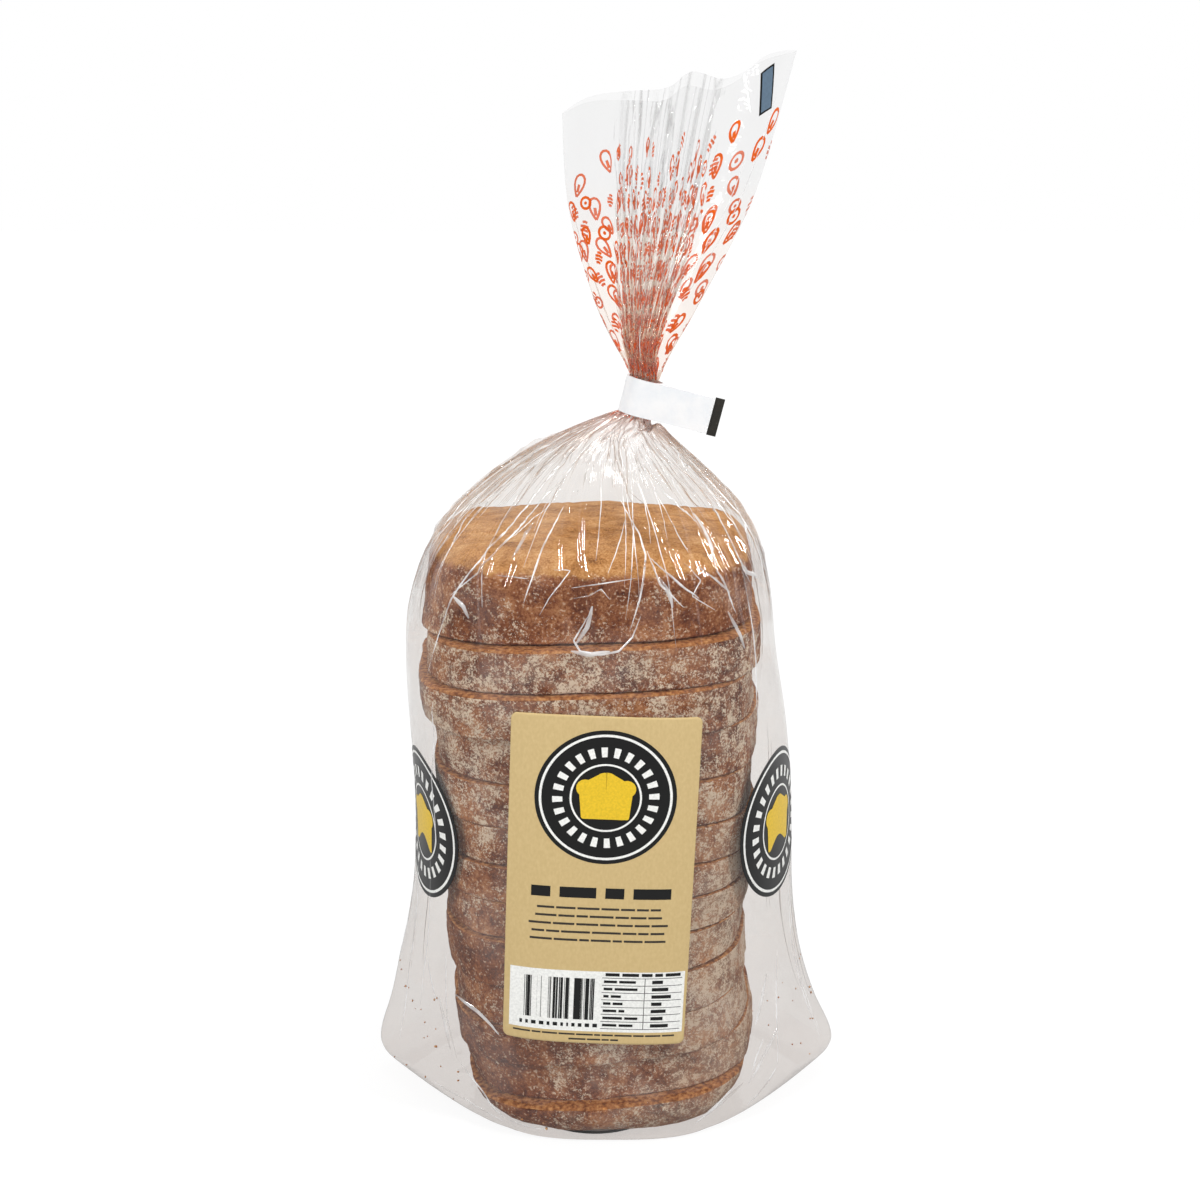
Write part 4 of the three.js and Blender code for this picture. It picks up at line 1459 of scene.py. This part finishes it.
# %% Motifs in rows, thinning out upwards
PRINT_LOW = 266.0
PRINT_HIGH = 356.0
PRINT_ROWS = 7.8
PRINT_COLUMNS = 8.4
THINS_OUT = 30.0
random = np.random.RandomState(21)
motifs = []
for row, up in enumerate(np.arange(PRINT_LOW, PRINT_HIGH, PRINT_ROWS)):
    for across in np.arange(0, FILM_ROUND - PRINT_COLUMNS / 2, PRINT_COLUMNS):
        place = np.array([across + PRINT_COLUMNS / 2 * (row % 2), up]) + random.uniform(-1.6, 1.6, 2)
        if random.rand() < (place[1] - PRINT_HIGH + THINS_OUT) / THINS_OUT:
            continue
        draw = (drop_motif, ring_motif, bar_motif)[random.choice(3, p=[0.5, 0.2, 0.3])]
        motifs += turned(draw(random.uniform(5.6, 7.6)), random.uniform(-0.6, 0.6), place)
on_film("neck_print", motifs, 0.05, orange_ink, (0, 0))
print("motif strokes", len(motifs))

# %% The eye mark
# The blue-grey eye mark near the tip, by which a packing machine finds the print, with a dark rim.
MARK_TURN = math.radians(19)
MARK_HALF = (1.8, 5.8)
MARK_RIM = 0.6
mark_at = nearest_flat(49.7, 333.9)
half_x, half_z = MARK_HALF
mark_field = turned([plate(-half_x, -half_z, half_x, half_z)], MARK_TURN, (0, 0))
half_x, half_z = half_x + MARK_RIM, half_z + MARK_RIM
mark_rim = turned([plate(-half_x, -half_z, half_x, half_z)], MARK_TURN, (0, 0))
on_film("eye_mark_rim", mark_rim, 0.1, black_ink, mark_at)
on_film("eye_mark", mark_field, 0.2, blue_grey_ink, mark_at)
print("eye mark at", [round(float(mm), 1) for mm in mark_at])

# %% [markdown]
# ## The label
#
# A kraft-coloured paper label is stuck on the front, turned a little. It is a thin sheet with rounded
# corners that follows the film. Its print is a badge, a heading and lines of small print, here plain
# dark bars, and a white field with bars and a ruled table.

# %% The label's sheet
LABEL_CORNER = 2.0
LABEL_THICK = 0.35


def label_place(a, b, lift):
    """Points for flat places on the label, in mm right and up from its middle."""
    cos, sin = math.cos(LABEL_TURN), math.sin(LABEL_TURN)
    x = LABEL_MIDDLE[0] + a * cos - b * sin
    z = LABEL_MIDDLE[1] + a * sin + b * cos
    return np.stack([x, label_depth(x, z) - lift, z], -1)


def label_outline(inset):
    """The label's outline with its rounded corners, from the bottom right corner round."""
    half = np.array([LABEL_WIDTH / 2, LABEL_HEIGHT / 2]) - LABEL_CORNER
    corners = [(1, -1, -0.5), (1, 1, 0), (-1, 1, 0.5), (-1, -1, 1)]
    parts = []
    for right, up, quarter in corners:
        centre = half * [right, up]
        parts.append(arc(centre, LABEL_CORNER - inset, math.pi * quarter, math.pi * (quarter + 0.5)))
    lines = []
    for part, after in zip(parts, parts[1:] + parts[:1]):
        steps = int(np.linalg.norm(after[0] - part[-1]) / QUAD)
        lines += [part, part[-1] + (after[0] - part[-1]) * (np.arange(1, steps) / steps)[:, None]]
    return np.concatenate(lines)


print("points round the label", len(label_outline(0)))


# %% The label as a mesh
def build_label(material):
    """Rings from the middle of the front, over the edge, to the back."""
    outline = label_outline(0)
    shares = np.linspace(0.0, 0.985, 27)
    rings = [label_place(*(outline * share).T, LABEL_THICK) for share in shares]
    rings += [label_place(*label_outline(0.1).T, LABEL_THICK), label_place(*outline.T, LABEL_THICK - 0.1),
              label_place(*outline.T, 0.0)]
    rings += [label_place(*(outline * share).T, 0.0) for share in (0.97, 0.5, 0.0)]
    faces = grid_faces(len(rings), len(outline), True)
    print("label quads", len(faces))
    return make_piece("label_sheet", np.array(rings), faces, material)


# %% [markdown]
# ## The label's paper
#
# Paper for such labels is white, coated and printed a kraft brown, so it is even and smooth, with a
# soft sheen. Bare kraft paper would be rougher and show its fibres. Here they are only a faint change
# of tone.

# %% Coated kraft paper
FIBRE = 0.8


def kraft_paper():
    """Coated paper printed kraft brown: even, smooth and a little glossy, with faint fibres."""
    paper = new_material("coated_kraft_paper")
    along_fibres = add(paper, "Mapping", {"Vector": place_in_mm(paper), "Scale": (1.0, 1.0, 0.6)})
    fibres = add(paper, "TexNoise", {"Vector": along_fibres, "Scale": 1 / FIBRE, "Detail": 3.0})
    tone = add(paper, "ValToRGB", [fibres], stops=[(0.3, "C9AF7B"), (0.5, "CDB37F"), (0.7, "D1B884")])
    bump = add(paper, "Bump", {"Strength": 0.15, "Distance": 0.0001, "Height": fibres})
    surface = add(paper, "BsdfPrincipled", {"Base Color": tone, "Roughness": 0.42, "Normal": bump,
                                            "Specular IOR Level": 0.4})
    add(paper, "OutputMaterial", [surface])
    return paper


def on_label(name, shapes, lift, material, middle=(0.0, 0.0)):
    """A print on the label; its middle is a flat place on it."""
    points, faces = joined(shapes)
    place = label_place(points[:, 0] + middle[0], points[:, 1] + middle[1], LABEL_THICK + lift)
    return make_piece(name, place, faces, material)


label_sheet = build_label(kraft_paper())
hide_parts("label")
print("label", LABEL_WIDTH, "by", LABEL_HEIGHT, "mm of", label_sheet.data.materials[0].name)

# %% Room between the bread and the label
NEAR_LABEL = 3.0
for k, shape in enumerate(slice_shapes):
    x, y, z = shape.reshape(-1, 3).T
    room = np.where((label_reach(x, z) > 0) & (y < 0), y - label_depth(x, z), 99.0)
    if room.min() < NEAR_LABEL:
        print(f"slice {k} stays {room.min():.2f} mm behind the label")

# %% The label's print
BADGE_ON_LABEL = (0.6, 29.4)
LABEL_BADGE_RADIUS = 22.0
badge("label_badge", LABEL_BADGE_RADIUS, on_label, BADGE_ON_LABEL, 0.3)


def text_bars(left, right, height, level, words, random):
    """One line of print as bars of different lengths."""
    lengths = random.uniform(0.5, 1.5, words)
    gap = height * 0.8
    lengths *= (right - left - gap * (words - 1)) / lengths.sum()
    starts = left + np.concatenate([[0], np.cumsum(lengths[:-1] + gap)])
    return [plate(start, level - height / 2, start + length, level + height / 2)
            for start, length in zip(starts, lengths)]


# Places are in mm right and up from the label's middle.
TITLE_HEIGHT = 3.6
PRINT_LINE = 2.75
PRINT_FROM = -8.0
INK_ON_LABEL = 0.04
random = np.random.RandomState(5)
on_label("label_title", text_bars(-21.5, 22.5, TITLE_HEIGHT, -2.6, 4, random), INK_ON_LABEL, black_ink)
small_print = []
for line, half in enumerate((19.5, 20, 22, 21, 21.5)):
    small_print += text_bars(-half, half, 0.75, PRINT_FROM - PRINT_LINE * line, 7, random)
small_print += text_bars(-26, 26, 0.6, -52.6, 11, random) + text_bars(-8, 8, 0.6, -54.3, 4, random)
on_label("label_small_print", small_print, INK_ON_LABEL, dark_ink)
print("bars of small print", len(small_print))

# %% The white field with bars and a ruled table
FIELD_LOW = -51.4
FIELD_HIGH = -29.8
BARS_FROM = -23
BARS = 26
RULE_HALF = 0.1
on_label("label_field", [plate(-27.4, FIELD_LOW, 28.4, FIELD_HIGH)], 0.03, white_ink)
edges = np.sort(random.uniform(BARS_FROM, 0, 2 * BARS))
stripes = [plate(a, FIELD_LOW + 4.2, b, FIELD_HIGH - 2.6) for a, b in zip(edges[::2], edges[1::2])]
stripes += text_bars(-24, 1, 1.3, FIELD_LOW + 2.2, 12, random)
levels = np.linspace(FIELD_LOW + 1.2, FIELD_HIGH - 2.2, 8)
table = [plate(2.0, level - RULE_HALF, 27.6, level + RULE_HALF) for level in levels]
table.append(plate(15.6, levels[0], 15.8, levels[-1]))
for level in levels[:-1] + np.diff(levels) / 2:
    table += text_bars(2.6, random.uniform(7, 14), 0.9, level, 2, random)
    table += text_bars(18, random.uniform(21, 25), 1.2, level, 1, random)
table += text_bars(3, 27, 1.1, FIELD_HIGH - 1.0, 5, random)
on_label("label_table", stripes + table, 0.06, black_ink)
print("stripes", len(stripes), "table lines and bars", len(table))

# %% [markdown]
# ## Crumbs
#
# A few crumbs of crust have slid down inside the bag and lie in the ears and round the loaf's foot.
# Particles could scatter them, but an export would drop those. So each is a small irregular lump at
# true size, and all of them are one mesh.

# %% Crumbs inside the film
# Places of crumbs that the photograph shows, at x and z, and how many more lie in the ears.
CRUMB_PLACES = [(-70, 40), (-68, 37), (-58, 27), (-58, 21), (-49, 14), (-24, 5), (-20, 5), (75, 33),
                (72, 43)]
CRUMBS_IN_EARS = 26
CRUMB_SIDES = 6
CRUMB_RINGS = 5


def crumb_lump(size, random):
    """An uneven lump of 48 triangles, from rings of points round a ball."""
    turn = 2 * np.pi * np.arange(CRUMB_SIDES) / CRUMB_SIDES
    rings = []
    for level in np.linspace(0.15, math.pi - 0.15, CRUMB_RINGS):
        across, up = math.sin(level), math.cos(level)
        place = [np.cos(turn) * across, np.sin(turn) * across, np.full(CRUMB_SIDES, up)]
        rings.append(np.column_stack(place))
    uneven = random.uniform(0.6, 1.25, (CRUMB_SIDES * CRUMB_RINGS, 1))
    points = np.concatenate(rings) * uneven * random.uniform(0.6, 1.0, 3)
    return points * size / 2, grid_faces(CRUMB_RINGS, CRUMB_SIDES, True)


random = np.random.RandomState(31)
crumbs = []
spots = [nearest_flat(x, z) for x, z in CRUMB_PLACES for repeat in range(2)]
for extra in range(CRUMBS_IN_EARS):
    ear = random.choice([0, FILM_ROUND / 2])
    spots.append((ear + random.uniform(-40, 40), random.uniform(3, 30)))
for across, up in spots:
    across, up = across + random.uniform(-3, 3), max(2.5, up + random.uniform(-3, 3))
    size = random.uniform(0.45, 1.1)
    points, faces = crumb_lump(size, random)
    crumbs.append((points + film_place(np.array([across]), np.array([up]), -size / 2), faces))
crumb_points, crumb_faces = joined(crumbs)
make_piece("crumbs", crumb_points, crumb_faces, toasted_crumb)
print("crumbs", len(crumbs), "triangles", 2 * len(crumb_faces))

# %% [markdown]
# ## The tape
#
# The neck is closed by a white plastic tape round the gathered film. Its two ends are stuck together as
# a flag, with a dark end strip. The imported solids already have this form, so they stay and get their
# finish here.

# %% Tape materials
WAVE = 6.0


def tape_material(name, colour, shade, roughness):
    """Oriented polypropylene tape: smooth and half glossy, in soft waves a few millimetres long."""
    tape = new_material(name)
    wave_settings = {"Vector": place_in_mm(tape), "Scale": 1 / WAVE, "Detail": 3.0, "Roughness": 0.6}
    waves = add(tape, "TexNoise", wave_settings)
    tone = add(tape, "ValToRGB", [waves], stops=[(0.35, shade), (0.6, colour)])
    bump = add(tape, "Bump", {"Strength": 0.3, "Distance": 0.0004, "Height": waves})
    surface = add(tape, "BsdfPrincipled", {"Base Color": tone, "Roughness": roughness, "Normal": bump,
                                           "Specular IOR Level": 0.5})
    add(tape, "OutputMaterial", [surface])
    return tape


def finish_node(node, material):
    """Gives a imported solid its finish, on the object and not in its mesh."""
    for piece in bpy.data.objects:
        if piece.name == node:
            for slot in piece.material_slots:
                slot.link = "OBJECT"
                slot.material = material
            print(node, "slots", len(piece.material_slots))


finish_node("tie", tape_material("white_polypropylene_tape", "EEEFF0", "E6E9EC", 0.3))
finish_node("tie_tab", tape_material("black_tape_end", "2A2823", "1F1D1A", 0.45))

# %% [markdown]
# ## The camera
#
# The photograph was taken from a little above the loaf's middle, looking down by about 15 degrees. The
# camera's place and focal length come from the loaf's outline and the label's size. It stands in front,
# at minus Y.

# %% The camera
CAMERA_PLACE = (0, -0.523, 0.317)
CAMERA_DOWN = 15.4
FOCAL_PIXELS = 1644
PICTURE_PIXELS = 1200
camera = bpy.data.objects.new("camera", bpy.data.cameras.new("camera"))
bpy.context.scene.collection.objects.link(camera)
camera.location = CAMERA_PLACE
camera.rotation_euler = (math.radians(90 - CAMERA_DOWN), 0, 0)
camera.data.lens = camera.data.sensor_width * FOCAL_PIXELS / PICTURE_PIXELS
camera.data.clip_start = 0.01
bpy.context.scene.camera = camera
print("lens in mm", round(camera.data.lens, 1))

# %% [markdown]
# ## The table and the light
#
# The photograph has a pure white ground with a very faint shadow. A plain white plane would come out
# grey or carry a hard shadow. So the table glows: to the camera it is nearly white already, and its own
# colour is dark, so that it throws little light up at the bread. The room is a white world, darker
# where gloss looks behind the camera, and soft boxes give the film its long highlights.

# %% White paper on the table
GROUND = 6.0
DARK_PAPER = 0.16
table_paper = new_material("white_table_paper")
ground_place = add(table_paper, "NewGeometry")
ground_y = add(table_paper, "SeparateXYZ", [ground_place]).outputs["Y"]
glow_below = add(table_paper, "MapRange", [ground_y, -0.05, 0.4, 0.24, 0.7])
away = add(table_paper, "VectorMath", [ground_place], operation="LENGTH").outputs["Value"]
glow_seen = add(table_paper, "MapRange", [away, 0.15, 1.5, 0.86, 0.97])
lit = add(table_paper, "Emission", [(1, 1, 1, 1), glow_below])
white = add(table_paper, "Emission", [(1, 1, 1, 1), glow_seen])
for_camera = add(table_paper, "LightPath").outputs["Is Camera Ray"]
glow = add(table_paper, "MixShader", [for_camera, lit, white])
dark_paper = add(table_paper, "BsdfDiffuse", [(DARK_PAPER, DARK_PAPER, DARK_PAPER, 1)])
add(table_paper, "OutputMaterial", [add(table_paper, "AddShader", [dark_paper, glow])])
floor_mesh = bpy.data.meshes.new("floor")
corners = [(-GROUND, -GROUND, 0), (GROUND, -GROUND, 0), (GROUND, GROUND, 0), (-GROUND, GROUND, 0)]
floor_mesh.from_pydata(corners, [], [(0, 1, 2, 3)])
floor_mesh.materials.append(table_paper)
floor = bpy.data.objects.new("floor", floor_mesh)
bpy.context.scene.collection.objects.link(floor)
print("table", 2 * GROUND, "m wide")

# %% A white world that is darker behind the camera
ROOM_LIGHT = 0.5
ROOM_IN_GLOSS = 0.1
studio = bpy.data.worlds.new("studio")
studio.use_nodes = True
studio.node_tree.nodes.clear()
way = add(studio, "SeparateXYZ", [add(studio, "TexCoord").outputs["Generated"]])
wall = add(studio, "MapRange", [way.outputs["Y"], -0.3, 0.5, ROOM_IN_GLOSS, 1.0])
in_gloss = add(studio, "Background", [(1, 1, 1, 1), wall])
room = add(studio, "Background", [(1, 1, 1, 1), ROOM_LIGHT])
backdrop = add(studio, "Background", [(1, 1, 1, 1), 1.0])
path = add(studio, "LightPath").outputs
seen = add(studio, "MixShader", [path["Is Camera Ray"], room, backdrop])
add(studio, "OutputWorld", [add(studio, "MixShader", [path["Is Glossy Ray"], seen, in_gloss])])
bpy.context.scene.world = studio
print("room", ROOM_LIGHT, "and in gloss", ROOM_IN_GLOSS)


# %% Soft boxes
def soft_box(name, place, aim, size, power, in_gloss=True):
    """A rectangular lamp turned towards a place; sizes in metres and power in watts."""
    light = bpy.data.lights.new(name, "AREA")
    light.shape = "RECTANGLE"
    light.size, light.size_y = size
    light.energy = power
    lamp = bpy.data.objects.new(name, light)
    lamp.location = place
    lamp.visible_glossy = in_gloss
    lamp.rotation_euler = (Vector(aim) - Vector(place)).to_track_quat("-Z", "Y").to_euler()
    bpy.context.scene.collection.objects.link(lamp)


soft_box("key_left", (-0.75, -0.6, 0.8), (0, 0, 0.15), (0.12, 0.3), 5)
soft_box("key_right", (0.7, -0.45, 0.85), (0, 0, 0.15), (0.1, 0.26), 5)
soft_box("top", (0.05, 0.1, 1.1), (0, 0, 0.15), (0.6, 0.25), 4)
soft_box("front", (0.0, -2.2, 0.5), (0, 0, 0.12), (1.0, 0.7), 13, in_gloss=False)

# %% How the picture is made
bpy.context.scene.view_settings.view_transform = "Standard"
# The gathered film lies in more layers than light is followed through by default.
FILM_LAYERS = 40
bpy.context.scene.cycles.transparent_max_bounces = FILM_LAYERS
print("view", bpy.context.scene.view_settings.view_transform)
